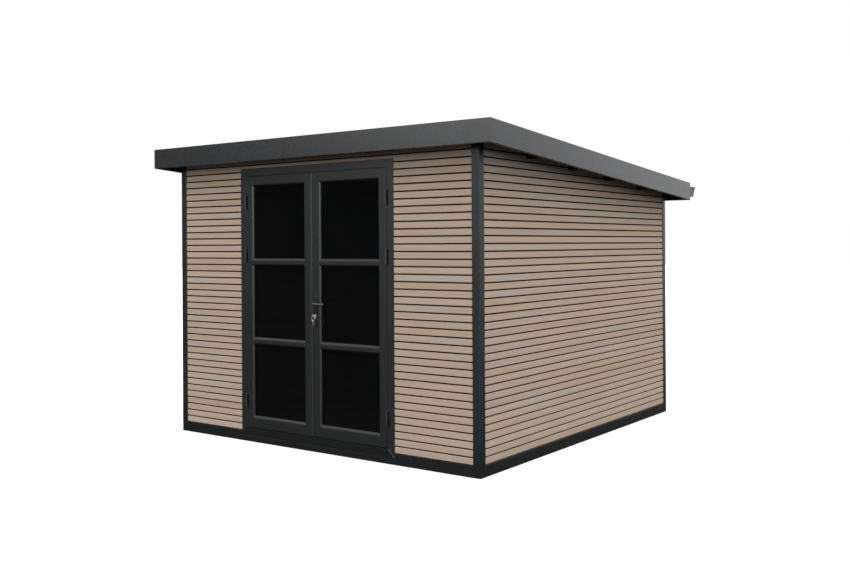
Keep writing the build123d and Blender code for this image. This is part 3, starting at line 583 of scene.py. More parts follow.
def roofboard_mat():
    """Roof boards and purlins: natural timber colour inside the walls, near-black on what stands outside them."""
    m, nt, b = new_mat("roof_timber")
    g = Graph(nt)
    gp, tone = g.attr("gp", "Vector"), g.attr("tone", "Fac")
    x, y, z = g.split(g.coord())[:3]
    out = g.math("MAXIMUM", g.math("SUBTRACT", g.math("ABSOLUTE", x), 1.47), g.math("SUBTRACT", g.math("ABSOLUTE", y), 1.47))
    mask = g.fit(out, -0.001, 0.001)
    hair = g.noise(g.scale(gp, (3.0, 300, 300)), detail=3, rough=0.65)
    line = g.noise(g.scale(gp, (0.9, 70, 70)), detail=3, rough=0.6, dist=0.3)
    f = g.math("ADD", g.math("MULTIPLY", g.math("SUBTRACT", hair, 0.5), 0.5), g.math("MULTIPLY", line, 1.0), clamp=True)
    nat = g.ramp(f, [(0.1, (0.29, 0.19, 0.10)), (0.5, (0.44, 0.33, 0.20)), (0.9, (0.53, 0.42, 0.27))])
    nat = g.mix(g.fit(g.voronoi(g.scale(gp, (2.2, 9, 9))), 0.02, 0.15, 0.7, 0.0, smooth=True), nat, (0.13, 0.07, 0.035))
    dark = g.ramp(f, [(0.1, (0.0035, 0.0034, 0.0034)), (0.5, (0.0065, 0.0062, 0.006)), (0.9, (0.0115, 0.011, 0.0105))])
    col = g.mix(mask, nat, dark)
    col = g.mix(g.fit(tone, 0, 1, 0.0, 0.22), col, (0.02, 0.016, 0.012))
    g.put(b.inputs["Base Color"], col)
    g.put(b.inputs["Roughness"], g.fit(hair, 0.3, 0.7, 0.55, 0.72))
    b.inputs["Specular IOR Level"].default_value = 0.25
    g.put(b.inputs["Normal"], g.bump(line, 0.3, 0.0008))
    return m


ROOFWOOD = roofboard_mat()


# ------------------------------------------------------------------ walls
def slat_rows():
    """(z0, z1) of every slat, from the top down, grooves between them."""
    i = -3
    while True:
        z1 = GROOVE_Z - PITCH * i - GROOVE / 2
        z0 = GROOVE_Z - PITCH * (i + 1) + GROOVE / 2
        if z1 <= RAIL_H + 4:
            return
        yield max(z0, RAIL_H + 0.8), z1
        i += 1


def lining_rows(pitch=126.0, gap=1.2):
    z = RAIL_H + 0.8
    while z < 2330:
        yield z, z + pitch - gap
        z += pitch


NOTCH = [e for y in PURLIN_Y for e in (y - 1.5, y + PURLIN_W + 1.5)]


def side_top(y):
    """Upper edge of a side wall: under the roof boards, notched round the purlins."""
    drop = BOARD_BOTTOM + 1.0
    for p in PURLIN_Y:
        if p - 1.5 <= y <= p + PURLIN_W + 1.5:
            drop = PURLIN_BOTTOM + 1.5
    return roof(y, drop)


def wall(name, ya, yb, place, top, breaks, zlow, slat_node, body="house", grain="x"):
    """Cladding slats, backing board and inner lining of one wall; the backing board is near-black, painted shade for
    the grooves between the slats. place(u, z, depth from the slats' face).
    """
    p = Piece(name + "_slats", body, [SLAT], "wall_slats", slat_node)
    for z0, z1 in slat_rows():
        if z1 < zlow + 5:
            continue
        z0 = max(z0, zlow + 0.8)
        tone = p.rng.random()
        for poly in under(z0, z1, ya + 1.2, yb - 1.2, breaks, top):
            p.add(plate(poly, place, 0.0, 13.0, 1.3), grain, tone)
    p.done()
    p = Piece(name + "_backing", body, [GROOVE_SHADE_BOARD])
    for poly in under(max(zlow, RAIL_H), 9999.0, ya, yb, breaks, top):
        p.add(plate(poly, place, 13.2, 33.0, 0.8, back=True), grain)
    p.done()
    p = Piece(name + "_lining", body, [LINING])
    for z0, z1 in lining_rows():
        if z1 < zlow + 5:
            continue
        z0 = max(z0, zlow + 0.8)
        tone = p.rng.random()
        for poly in under(z0, z1, ya + 0.6, yb - 0.6, breaks, top):
            p.add(plate(poly, lambda u, w, d: place(u, w, 50.0 - d), 0.0, 16.5, 2.0), grain, tone)
    p.done()


def front_place(u, w, d):
    return (u, -1496.0 + d, w)


def back_place(u, w, d):
    return (u, 1496.0 - d, w)


def right_place(u, w, d):
    return (1496.0 - d, u, w)


def left_place(u, w, d):
    return (-1496.0 + d, u, w)


front_top = roof(-1496.0, BOARD_BOTTOM + 5.0)
back_top = roof(1496.0, BOARD_BOTTOM + 1.0)
wall("front_wall_left", -1440, -775, front_place, lambda u: front_top, (), RAIL_H, ("front_wall_left",))
wall("front_wall_right", 775, 1440, front_place, lambda u: front_top, (), RAIL_H, ("front_wall_right",))
wall("front_wall_over_door", -775, 775, front_place, lambda u: front_top, (), FZ1, ("front_wall_over_door",))
wall("back_wall", -1440, 1440, back_place, lambda u: back_top, (), RAIL_H, ("back_wall",))
wall("right_wall", -1440, 1440, right_place, side_top, NOTCH, RAIL_H, ("right_wall", "right_wall_top"), grain="y")
wall("left_wall", -1440, 1440, left_place, side_top, NOTCH, RAIL_H, ("left_wall", "left_wall_top"), grain="y")


# ------------------------------------------------------------------ posts, base rails, floor
def post(name, sx, sy):
    """Square hollow-section post: rounded outer corner, the other corners slightly rounded."""
    x0, x1, y0, y1 = HX - POST, HX, HY - POST, HY
    pts = [(x0, y0), (x1, y0), (x1, y1), (x0, y1)]
    sec = rounded(pts, [1.5, 2.2, 5.5, 2.2], 4)
    sec = [(sx * x, sy * y) for x, y in sec]
    ins = inset(sec, 1.0)
    p = Piece(name + "_profile", "house", [COAT], "frame_black", (name,))
    rings = [[(x, y, 0.6) for x, y in ins], [(x, y, 1.6) for x, y in sec], [(x, y, roof(y, BOARD_BOTTOM) - 0.3) for x, y in sec]]
    p.add(loft(rings), "z")
    p.done()


post("post_front_left", -1, -1)
post("post_front_right", 1, -1)
post("post_back_left", -1, 1)
post("post_back_right", 1, 1)

p = Piece("base_rail_front_profile", "house", [COAT], "frame_black", ("base_rail_front",))
outline = [(-HX + POST + 0.5, 0.4), (HX - POST - 0.5, 0.4), (HX - POST - 0.5, RAIL_H), (DOOR_X + 0.6, RAIL_H), (DOOR_X + 0.6, FZ0 - 3.0), (-DOOR_X - 0.6, FZ0 - 3.0), (-DOOR_X - 0.6, RAIL_H), (-HX + POST + 0.5, RAIL_H)]
p.add(plate(outline, lambda u, w, d: (u, -HY + d, w), 0.0, POST, 1.0, back=True), "x")
p.done()
p = Piece("base_rail_back_profile", "house", [COAT], "frame_black", ("base_rail_back",))
p.add(cbox(-HX + POST + 0.5, HX - POST - 0.5, HY - POST, HY, 0.4, RAIL_H, 2.2), "x").done()
for name, s in (("base_rail_left", -1), ("base_rail_right", 1)):
    p = Piece(name + "_profile", "house", [COAT], "frame_black", (name,))
    a, b = sorted((s * (HX - POST), s * HX))
    p.add(cbox(a, b, -HY + POST + 0.5, HY - POST - 0.5, 0.4, RAIL_H, 2.2), "y").done()

p = Piece("floor_bearer_beams", "house", [TIMBER], "timber", ("floor_bearers",))
for k in range(7):
    y = (k - 3) * 400.0
    p.add(cbox(-1439.4, 1439.4, y - 25, y + 25, 1.0, 60.6, 2.5), "x")
p.done()
p = Piece("floor_planks", "house", [FLOOR, SCREW], "floor_boards", ("floor_boards",))
n = 24
for k in range(n):
    x = -1440 + k * 120.0
    p.add(cbox(x + 0.8, x + 119.2, -1439.4, 1439.4, 61.0, 80.0, 2.0), "y")
    for j in range(7):
        y = (j - 3) * 400.0
        for dx in (28, 92):
            p.add(turned([(4.2, -1.5), (4.2, 0.15), (3.4, 0.35)], (x + dx, y, 80.0), (0, 0, 1), 8), mat=1)
p.done()


# ------------------------------------------------------------------ door frame
IN_X, IN_Z0, IN_Z1 = DOOR_X - JAMB, FZ0 + SILL, FZ1 - HEAD
CORNER = {"bl": ((-DOOR_X, FZ0), (-IN_X, IN_Z0)), "br": ((DOOR_X, FZ0), (IN_X, IN_Z0)), "tl": ((-DOOR_X, FZ1), (-IN_X, IN_Z1)), "tr": ((DOOR_X, FZ1), (IN_X, IN_Z1))}


def frame_section(width):
    """Section of a frame member: (share across from the outer edge, depth from the face), with the stop behind the leaves."""
    pts = [(0, 0), (width, 0), (width, 52.2), (width + 12, 52.2), (width + 12, 60), (0, 60)]
    sec = rounded(pts, [1.5, 1.0, 0, 1.5, 1.0, 1.0], 3)
    return [(u / width, d) for u, d in sec]


def mitred(a, b, width, gap=0.35):
    (ao, ai), (bo, bi) = CORNER[a], CORNER[b]
    ao, ai, bo, bi = map(Vector, (ao, ai, bo, bi))
    run = (bo - ao).normalized() * gap
    rings = []
    for o, i, s in ((ao, ai, 1), (bo, bi, -1)):
        ring = []
        for t, d in frame_section(width):
            q = o + (i - o) * t + run * s
            ring.append((q.x, -HY + d, q.y))
        rings.append(ring)
    return loft(rings)


for name, a, b, w, gr in (("door_frame_left", "bl", "tl", JAMB, "z"), ("door_frame_right", "br", "tr", JAMB, "z"), ("door_frame_head", "tl", "tr", HEAD, "x"), ("door_frame_sill", "bl", "br", SILL, "x")):
    Piece(name + "_profile", "house", [SILL_SHADED if "sill" in name else DOOR], "door_black", (name,)).add(mitred(a, b, w), gr).done()

# Weather seal in the rebate, just clear of the leaves; a near-black strip under the leaves on the sill, painted shade
# for the gap there; and the bright corner cleat showing in the lower mitre
p = Piece("door_frame_seal", "house", [RUBBER_AND_KEYWAY_SHADE, SHADE_BLACK])
for x in (-1, 1):
    a, b = sorted((x * (IN_X - 10.0), x * (IN_X - 3.0)))
    p.add(cbox(a, b, -1452.3, -1448.0, IN_Z0 + 3, IN_Z1 - 3, 1.2), "z")
p.add(cbox(-IN_X + 10, IN_X - 10, -1452.3, -1448.0, IN_Z1 - 10, IN_Z1 - 3, 1.2), "x")
p.add(cbox(-IN_X + 10, IN_X - 10, -1452.3, -1448.0, IN_Z0 + 3, IN_Z0 + 10, 1.2), "x")
# near-black strip under the leaves: painted shade for the gap over the sill
p.add(cbox(-IN_X + 1, IN_X - 1, -1495.0, -1460.0, IN_Z0 + 0.2, LZ0 - 1.2, 0.8), "x", mat=1)
p.done()
p = Piece("door_frame_gap_seal", "house", [DOOR])
for x in (-1, 1):
    a, b = sorted((x * 713.3, x * (IN_X + 1.0)))
    p.add(cbox(a, b, -1498.0, -1476.0, IN_Z0 + 8, IN_Z1 - 1, 1.0), "z")
p.add(cbox(-IN_X + 1, IN_X - 1, -1497.5, -1476.0, LZ1 + 1.3, IN_Z1 + 1.0, 0.8), "x")
p.done()
p = Piece("door_frame_corner_cleat", "house", [ALU])
o, i = Vector(CORNER["br"][0]), Vector(CORNER["br"][1])
d = (i - o).normalized()
nrm = Vector((-d.y, d.x)) * 1.7
q = [o + d * 3 + nrm, o + d * 3 - nrm, i - d * 2 - nrm, i - d * 2 + nrm]
p.add(loft([[(v.x, -HY - 0.4, v.y) for v in q], [(v.x, -HY + 12, v.y) for v in q]]), "x")
p.done()


# ------------------------------------------------------------------ door leaves
BEAD_V, BEAD_UP, BEAD_DN, BEAD_D = 9.0, 17.0, 12.5, 13.0   # bead width on the stiles, under and over the panes, and its depth
FLAT, FLAT_L = 65.0, 74.0                                  # flat face of a stile; of the left leaf's meeting stile
GL0, GL1 = -1486.0, -1462.0


def leaf(side):
    s = -1 if side == "left" else 1
    body = "door_" + side

    def X(x):
        return s * x

    def box(x0, x1, y0, y1, z0, z1, c):
        a, b = sorted((X(x0), X(x1)))
        return cbox(a, b, y0, y1, z0, z1, c)

    y0, y1 = -1500.0, -1453.0
    # Stiles, their outer edges rounded
    p = Piece(side + "_door_stile_profiles", body, [DOOR], "door_black", (side + "_door_stiles",))
    flat0 = FLAT_L if side == "left" else FLAT
    for xa, xb in ((LX1, LX1 - FLAT), (LX0, LX0 + flat0)):
        if side == "left" and xa == LX0:
            # meeting stile with its bevelled cover strip, which closes most of the gap between the leaves
            pts = [(xb, y0), (15.5, y0), (9.0, y0 + 6.5), (-0.5, y0 + 6.5), (-0.5, y0 + 12), (LX0, y0 + 12), (LX0, y1), (xb, y1)]
            sec = rounded(pts, [1.3, 0.8, 0.8, 0.6, 0.6, 0.4, 2.0, 1.3], 3)
        else:
            pts = [(xa, y0), (xb, y0), (xb, y1), (xa, y1)]
            sec = rounded(pts, [2.2, 1.3, 1.3, 2.2], 4)
        rings = []
        for z, k in ((LZ0, 1.2), (LZ0 + 1.2, 0), (LZ1 - 1.2, 0), (LZ1, 1.2)):
            q = inset(sec, k) if k else sec
            rings.append([(X(x), y, z) for x, y in q])
        p.add(loft(rings), "z")
    p.done()
    # Rails and glazing bars between the stiles
    gx0, gx1 = LX0 + flat0, LX1 - FLAT
    p = Piece(side + "_door_rail_profiles", body, [DOOR], "door_black", (side + "_door_rails",))
    flats = [(LZ0, LZ0 + 93.0 - BEAD_UP), (BARS[1][0] + BEAD_DN, BARS[1][1] - BEAD_UP), (BARS[0][0] + BEAD_DN, BARS[0][1] - BEAD_UP), (LZ1 - 79.0 + BEAD_DN, LZ1)]
    for z0, z1 in flats:
        p.add(box(gx0 + 0.3, gx1 - 0.3, y0, y1, z0, z1, 1.3), "x")
    p.done()
    # Glazing beads mitred round each pane, inside and outside, with their gaskets; level beads take the darker copy of
    # the bead lacquer (painted shade), upright beads the lighter, glossier copy (painted highlight)
    outer = Piece(side + "_door_glazing_beads", body, [BEAD_LEVEL_SHADED, BEAD_UPRIGHT_LIT], "door_black")
    gask = Piece(side + "_door_gaskets", body, [RUBBER_AND_KEYWAY_SHADE])
    panes = Piece(side + "_door_panes", body, [GLASS], "glass", (side + "_door_glass",))
    for (a, b), (c, d) in zip(flats, flats[1:]):
        zl, zh = b, c
        corners = ((gx0, zl), (gx1, zl), (gx1, zh), (gx0, zh))
        sign = ((1, 1), (-1, 1), (-1, -1), (1, -1))
        for face, back, lay in ((y0, GL0, 1), (y1, GL1, -1)):
            # sections as (share of the bead's width, depth from the face)
            deep = abs(back - face)
            if lay > 0:
                sec = [(0.0, 0.2), (0.04, 0.0), (0.30, 1.4), (0.62, 4.6), (0.88, 9.0), (1.0, BEAD_D - 1.2), (1.0, deep - 0.3), (0.0, deep - 0.3)]
            else:
                sec = [(0.0, 0.0), (0.86, 0.0), (1.0, 1.4), (1.0, deep - 0.3), (0.0, deep - 0.3)]
            gs = [(0.80, deep - 1.5), (1.06, deep - 1.5), (1.14, deep - 0.15), (0.80, deep - 0.15)]
            for made, section in ((outer, sec), (gask, gs)):
                rings = [[(X(cx + sx * u * BEAD_V), face + lay * w, cz + sz * u * (BEAD_UP if sz > 0 else BEAD_DN)) for u, w in section] for (cx, cz), (sx, sz) in zip(corners, sign)]
                for k in range(4):
                    made.add(loft([rings[k], rings[(k + 1) % 4]]), "z" if k % 2 else "x", mat=k % 2 if made is outer else 0)
        panes.add(box(gx0 + 4, gx1 - 4, GL0, GL1, zl + 4, zh - 4, 0.8), "x", keep=True)
    outer.done()
    gask.done()
    panes.done()


leaf("left")
leaf("right")

p = Piece("right_door_meeting_seal", "door_right", [RUBBER_AND_KEYWAY_SHADE])
p.add(cbox(2.4, 6.5, -1475, -1462, LZ0 + 2, LZ1 - 2, 1.0), "z")
p.done()


# ------------------------------------------------------------------ hinges
HINGE_X, HINGE_Y, HINGE_R, HINGE_Z, HINGE_L = 714.5, -1508.5, 7.0, (1866.0, 1450.0, 316.0), 110.0


def knuckle(p, sx, z0, z1, cap_low, cap_high):
    prof = []
    if cap_low:
        prof += [(2.0, z0), (5.2, z0 + 0.6), (HINGE_R, z0 + 2.6)]
    else:
        prof += [(HINGE_R - 0.7, z0), (HINGE_R, z0 + 0.7)]
    if cap_high:
        prof += [(HINGE_R, z1 - 2.6), (5.2, z1 - 0.6), (2.0, z1)]
    else:
        prof += [(HINGE_R, z1 - 0.7), (HINGE_R - 0.7, z1)]
    p.add(turned(prof, (sx * HINGE_X, HINGE_Y, 0), (0, 0, 1), 24), "z")


def hinge_wing(p, sx, inward, z0, z1, rest0, rest1):
    """Plate on the leaf (inward) or on the frame, the arm that carries the knuckle, its screws, and the thin cover
    beside the other knuckle. All of it is near-black: painted shade for the slot beside the barrel.
    """
    k = -1 if inward else 1
    x0, x1 = sorted((sx * (HINGE_X + k * 2.5), sx * (HINGE_X + k * 15.5)))
    p.add(cbox(x0, x1, -1503.2, -1500.0, z0, z1, 0.9), "z", mat=1)
    c0, c1 = sorted((sx * (HINGE_X + k * 2.0), sx * (HINGE_X + k * 7.5)))
    p.add(cbox(c0, c1, -1508.3, -1502.8, z0 + 0.4, z1 - 0.4, 0.6), "z", mat=1)
    x0, x1 = sorted((sx * (HINGE_X + k * 3.6), sx * (HINGE_X + k * 15.5)))
    p.add(cbox(x0, x1, -1501.0, -1500.0, rest0, rest1, 0.3), "z", mat=1)
    for z in (z0 + 9, z1 - 9):
        p.add(turned([(2.6, 0.0), (2.6, 0.5), (1.9, 0.9), (0.8, 0.9)], (sx * (HINGE_X + k * 11.5), -1503.1, z), (0, -1, 0), 12), mat=1)


fh = Piece("frame_hinge_knuckles", "house", [HINGE_M, SHADE_BLACK, SCREW], "hinges", ("frame_hinges",))
lh = {-1: Piece("left_door_hinge_knuckles", "door_left", [HINGE_M, SHADE_BLACK, SCREW], "hinges", ("left_door_hinges",)),
      1: Piece("right_door_hinge_knuckles", "door_right", [HINGE_M, SHADE_BLACK, SCREW], "hinges", ("right_door_hinges",))}
for sx in (-1, 1):
    for z in HINGE_Z:
        lo, mid0, mid1, hi = z - HINGE_L / 2, z - 0.5, z + 0.5, z + HINGE_L / 2
        knuckle(fh, sx, lo, mid0, True, False)
        hinge_wing(fh, sx, False, lo + 0.3, mid0, mid1, hi - 0.3)
        knuckle(lh[sx], sx, mid1, hi, False, True)
        hinge_wing(lh[sx], sx, True, mid1, hi - 0.3, lo + 0.3, mid0)
fh.done()
lh[-1].done()
lh[1].done()


# ------------------------------------------------------------------ lock furniture
def stadium(w, h, r, seg=8):
    return rounded([(-w / 2, -h / 2), (w / 2, -h / 2), (w / 2, h / 2), (-w / 2, h / 2)], r, seg)


p = Piece("handle_back_plates", "door_right", [PLATE_M, SCREW, SHADE_BLACK], "handle_black", ("handle_plates",))
zc = (932.0 + 1156.0) / 2
for y_face, k in ((-1500.0, -1), (-1453.0, 1)):
    def pl(u, w, d, y_face=y_face, k=k):
        return (PLATE_X + u, y_face + k * (8.0 - d), zc + w)
    o = stadium(36, 224, 12)
    rings = [[pl(u, w, 0.0) for u, w in inset(o, 3.2)], [pl(u, w, 0.7) for u, w in inset(o, 1.4)], [pl(u, w, 2.2) for u, w in inset(o, 0.2)], [pl(u, w, 2.6) for u, w in inset(o, 0.1)]]
    p.add(loft(rings), "z")
    # near-black edge of the back plate: painted shade along the plate's side
    p.add(loft([[pl(u, w, 2.6) for u, w in inset(o, 0.1)], [pl(u, w, 8.0) for u, w in o]]), "z", mat=2)
    # collar round the lever's neck and rose round the cylinder
    p.add(turned([(13.0, 0.0), (13.0, 1.0), (11.6, 2.2), (10.0, 2.4)], (PLATE_X, y_face + k * 7.8, LEVER_Z), (0, k, 0), 28), "z")
    for z in (944.5, 1143.5):
        p.add(turned([(3.4, 0.0), (3.4, 0.5), (2.2, 0.9)], (PLATE_X, y_face + k * 7.9, z), (0, k, 0), 12), mat=1)
p.done()

p = Piece("lock_cylinder_ends", "door_right", [BRASS, RUBBER_AND_KEYWAY_SHADE], "brass", ("lock_cylinders",))
for y_face, k in ((-1500.0, -1), (-1453.0, 1)):
    p.add(turned([(8.4, 7.0), (8.4, 10.0), (7.9, 10.7), (3.0, 11.0)], (PLATE_X, y_face, CYL_Z), (0, k, 0), 28), "z")
    a, b = sorted((y_face + k * 7.0, y_face + k * 10.2))
    p.add(cbox(PLATE_X - 4.8, PLATE_X + 4.8, a, b, CYL_Z - 22, CYL_Z - 5, 1.2), "z")
    if k > 0:
        # keyway mark: painted shade for the keyhole
        p.add(cbox(PLATE_X - 0.7, PLATE_X + 0.7, y_face + 10.6, y_face + 11.05, CYL_Z - 4.5, CYL_Z + 4.5, 0.15), mat=1)
p.done()


def key(p, x0, ky, kz, down):
    """Flat key 2.5 thick: bow with its hole, shoulder and toothed blade. down: blade points down, else towards the door."""
    n = 28
    hole = (0.0, 5.0)

    def put(x, a, b):
        return (x, ky + a, kz + b) if down else (x, ky - b, kz + a)

    # bow as a ring between an outer rounded outline and the hole
    out_pts = []
    for i in range(n):
        t = 2 * math.pi * i / n
        cx, cz = math.cos(t), math.sin(t)
        rr = 11.5 / max(abs(cx) ** 6 + abs(cz) ** 6, 1e-9) ** (1 / 6)
        out_pts.append((cx * rr * 0.96, cz * rr))
    hole_pts = [(hole[0] + 3.0 * math.cos(2 * math.pi * i / n), hole[1] + 3.0 * math.sin(2 * math.pi * i / n)) for i in range(n)]
    rings = [[put(x0, a * 0.95, b * 0.95) for a, b in out_pts], [put(x0 + 0.5, a, b) for a, b in out_pts], [put(x0 + 2.0, a, b) for a, b in out_pts], [put(x0 + 2.5, a * 0.95, b * 0.95) for a, b in out_pts],
             [put(x0 + 2.5, a, b) for a, b in hole_pts], [put(x0, a, b) for a, b in hole_pts]]
    p.add(loft(rings, wrap=True), "z")
    if down:
        teeth = [(-3.6, -11.0), (-3.6, -34.0), (-1.5, -37.5), (1.0, -37.5), (3.6, -34.5), (2.2, -32.0), (3.8, -29.5), (1.6, -27.0), (3.2, -24.5), (2.0, -22.0), (4.0, -19.5), (4.0, -11.0)]
        p.add(loft([[put(x0 + 0.15, a, b) for a, b in teeth], [put(x0 + 2.35, a, b) for a, b in teeth]]), "z")
    else:
        p.add(loft([[put(x0 + 0.1, a, b) for a, b in ((-4, -10.5), (4, -10.5), (4, -18.0), (-4, -18.0))], [put(x0 + 2.4, a, b) for a, b in ((-4, -10.5), (4, -10.5), (4, -18.0), (-4, -18.0))]]), "z")


p = Piece("key_set", "door_right", [STEEL], "key_steel", ("keys",))
key(p, PLATE_X - 1.25, -1529.0, CYL_Z, False)
key(p, PLATE_X + 4.0, -1534.0, CYL_Z - 38.0, True)
ring = [(PLATE_X + 2.6 + 16.2 * math.cos(2 * math.pi * i / 36), -1534.0, CYL_Z - 16.5 + 16.8 * math.sin(2 * math.pi * i / 36)) for i in range(36)]
rings = []
for i in range(36):
    a = 2 * math.pi * i / 36
    rad = Vector((math.cos(a), 0, math.sin(a)))
    rings.append([tuple(Vector(ring[i]) + rad * u + Vector((0, 1, 0)) * w) for u, w in circle(0.9, 8)])
p.add(loft(rings, wrap=True), "z")
p.done()

p = Piece("lever_handles", "handle", [HANDLE], "handle_black", ("levers",))
for k, yf, yl in ((-1, -1508.0, -1552.0), (1, -1445.0, -1401.0)):
    path = bend([(PLATE_X, yf - k * 7.5, LEVER_Z), (PLATE_X, yl, LEVER_Z), (154.0 - 6.0, yl, LEVER_Z)], 17.0, 8)
    path = [path[0]] + path[1:]
    # round neck flattening to an oval grip, closed by a rounded tip
    secs = []
    total = len(path)
    for idx in range(total):
        t = idx / (total - 1)
        w = 8.0 + 1.3 * min(1.0, t * 1.4)
        h = 8.0 - 0.6 * min(1.0, t * 1.4)
        secs.append([(h * math.cos(a), w * math.sin(a)) for a in [2 * math.pi * i / 20 for i in range(20)]])
    for dx, sc in ((2.6, 0.93), (4.6, 0.76), (5.7, 0.5), (6.0, 0.2)):
        path.append((148.0 + dx, yl, LEVER_Z))
        secs.append([(a * sc, b * sc) for a, b in secs[total - 1]])
    p.add(loft(along(path, secs)), "x")
    p.add(turned([(9.4, 0.0), (9.4, 1.6), (8.4, 2.4)], (PLATE_X, yf + k * 2.6, LEVER_Z), (0, k, 0), 28), "x")
p.add(cbox(PLATE_X - 4, PLATE_X + 4, -1501.0, -1452.0, LEVER_Z - 4, LEVER_Z + 4, 0.6), "x")
p.done()


# ------------------------------------------------------------------ roof timber and covering
p = Piece("purlin_beams", "house", [ROOFWOOD], "timber", ("purlins",))
for y in PURLIN_Y:
    pts = [(y, PURLIN_BOTTOM), (y + PURLIN_W, PURLIN_BOTTOM), (y + PURLIN_W, BOARD_BOTTOM + 0.2), (y, BOARD_BOTTOM + 0.2)]
    sec = [(yy, roof(yy, dd)) for yy, dd in pts]
    sec = rounded(sec, [3, 3, 1, 1], 2)
    ins = inset(sec, 1.5)
    p.add(loft([[(-1676.0, a, b) for a, b in ins], [(-1674.5, a, b) for a, b in sec], [(1674.5, a, b) for a, b in sec], [(1676.0, a, b) for a, b in ins]]), "x")
p.done()

p = Piece("roof_board_deck", "house", [ROOFWOOD], "roof_boards", ("roof_boards",))
n = 35
w = 3352.0 / n
for k in range(n):
    x0, x1 = -1676 + k * w + 0.5, -1676 + (k + 1) * w - 0.5
    sec = [(x0 + 2.5, 26.0), (x1 - 2.5, 26.0), (x1, 23.5), (x1, 8.4), (x0, 8.4), (x0, 23.5)]
    p.add(loft([[(x, -1625.6, roof(-1625.6, d)) for x, d in sec], [(x, 1645.6, roof(1645.6, d)) for x, d in sec]]), "y")
p.done()

p = Piece("roof_felt_sheets", "house", [FELT], "roof_covering", ("roof_covering",))
edges = [-1676.0, -760.0, 160.0, 1080.0, 1676.0]
for k in range(4):
    x0, x1 = edges[k], edges[k + 1] + (70.0 if k < 3 else 0.0)
    lift = 0.0
    # each sheet lies flat and climbs onto the one before at its left edge
    if k == 0:
        sec = [(x0, 8.0), (x1, 8.0), (x1, 6.1), (x1 - 1.5, 5.9), (x0, 5.9)]
    else:
        sec = [(x0 + 0.2, 5.8), (x0 + 70.5, 5.8), (x0 + 73.0, 8.0), (x1, 8.0), (x1, 6.1), (x1 - 1.5, 5.9), (x0 + 75.0, 5.9), (x0 + 70.5, 4.05), (x0 + 1.5, 4.05), (x0 + 0.2, 4.4)]
    rings = []
    for j in range(41):
        y = -1625.0 + (1649.0 + 1625.0) * j / 40
        rings.append([(x, y, roof(y, d)) for x, d in sec])
    p.add(loft(rings), "y")
p.done()


# ------------------------------------------------------------------ fascias
def screws(p, pts, axis=(0, 0, 1), r=5.5, mat=1):
    for q in pts:
        p.add(turned([(r, -0.6), (r, 0.5), (r * 0.72, 1.5), (r * 0.3, 1.8)], q, axis, 10), mat=mat)


def folded(first, flange_top, down, lip):
    """Outline of a folded edge sheet: (distance in from the outer face, drop below the roof plane)."""
    t = FASCIA_T
    pts = [(0, 0), (flange_top, 0), (flange_top, t), (t, t), (t, down - t), (lip, down - t), (lip, down), (0, down)]
    return rounded(pts, [3.5, 0.8, 0.8, 0.9, 0.9, 0.8, 0.8, 3.5], 3)


sec = folded(0, FLANGE, FASCIA_H, LIP)
p = Piece("fascia_front_sheet", "house", [FASCIA, SCREW], "fascia_grey", ("fascia_front",))
N = 24
rings = []
for j in range(N + 1):
    t = j / N
    rings.append([((-1 + 2 * t) * (FX - u - 0.25), FY0 + u, roof(FY0 + u, d)) for u, d in sec])
p.add(loft(rings), "x", keep=True)
screws(p, [(-1400 + 400 * k, FY0 + 40, roof(FY0 + 40)) for k in range(8)], (0, 0, 1), 5.0)
p.done()
for name, s in (("fascia_left", -1), ("fascia_right", 1)):
    p = Piece(name + "_sheet", "house", [FASCIA, SCREW], "fascia_grey", (name,))
    rings = []
    for j in range(N + 1):
        t = j / N
        ring = []
        for u, d in sec:
            y = (FY0 + u + 0.25) * (1 - t) + FY1 * t
            ring.append((s * (FX - u), y, roof(y, d)))
        rings.append(ring)
    p.add(loft(rings), "y", keep=True)
    # closing plate at the back end
    tri = [(0.5, 0.6), (0.5, FASCIA_H - 0.6), (LIP, FASCIA_H - 0.6), (LIP, 0.6)]
    p.add(loft([[(s * (FX - u), FY1 - 2.2, roof(FY1 - 2.2, d)) for u, d in tri], [(s * (FX - u), FY1 - 0.2, roof(FY1, d)) for u, d in tri]]), "x")
    screws(p, [(s * (FX - 40), -1400 + 400 * k, roof(-1400 + 400 * k)) for k in range(8)], (0, 0, 1), 5.0)
    p.done()
p = Piece("fascia_back_sheet", "house", [FASCIA], "fascia_grey", ("fascia_back",))
pts = [(0, 8.3), (0, 158), (25, 158), (25, 154), (4, 154), (4, 8.3)]
sec_b = rounded(pts, [0.8, 3.0, 0.8, 0.8, 0.9, 0.8], 3)
p.add(loft([[(x, FY1 - u, roof(FY1 - u, d)) for u, d in sec_b] for x in (-FX + LIP + 1, FX - LIP - 1)]), "x")
p.done()

p = Piece("drip_edge_flashing", "house", [FASCIA, SCREW], "fascia_grey", ("drip_edge",))
GZ1 = 2048.0
pts = [(FY1 - 70, roof(FY1 - 70, 3.4)), (FY1 - 70, roof(FY1 - 70, 1.2)), (FY1 + 16.8, roof(FY1 + 16.8, 1.2)), (FY1 + 16.8, GZ1 - 12), (FY1 + 14.6, GZ1 - 12), (FY1 + 14.6, roof(FY1 + 14.6, 3.4))]
sec_d = rounded(pts, [0.6, 0.6, 3.0, 0.6, 0.6, 1.0], 3)
p.add(loft([[(x, a, b) for a, b in sec_d] for x in (-FX + FLANGE + 3, FX - FLANGE - 3)]), "x")
screws(p, [(-1500 + 500 * k, FY1 - 35, roof(FY1 - 35, 1.2)) for k in range(7)], (0, 0, 1), 5.0)
p.done()


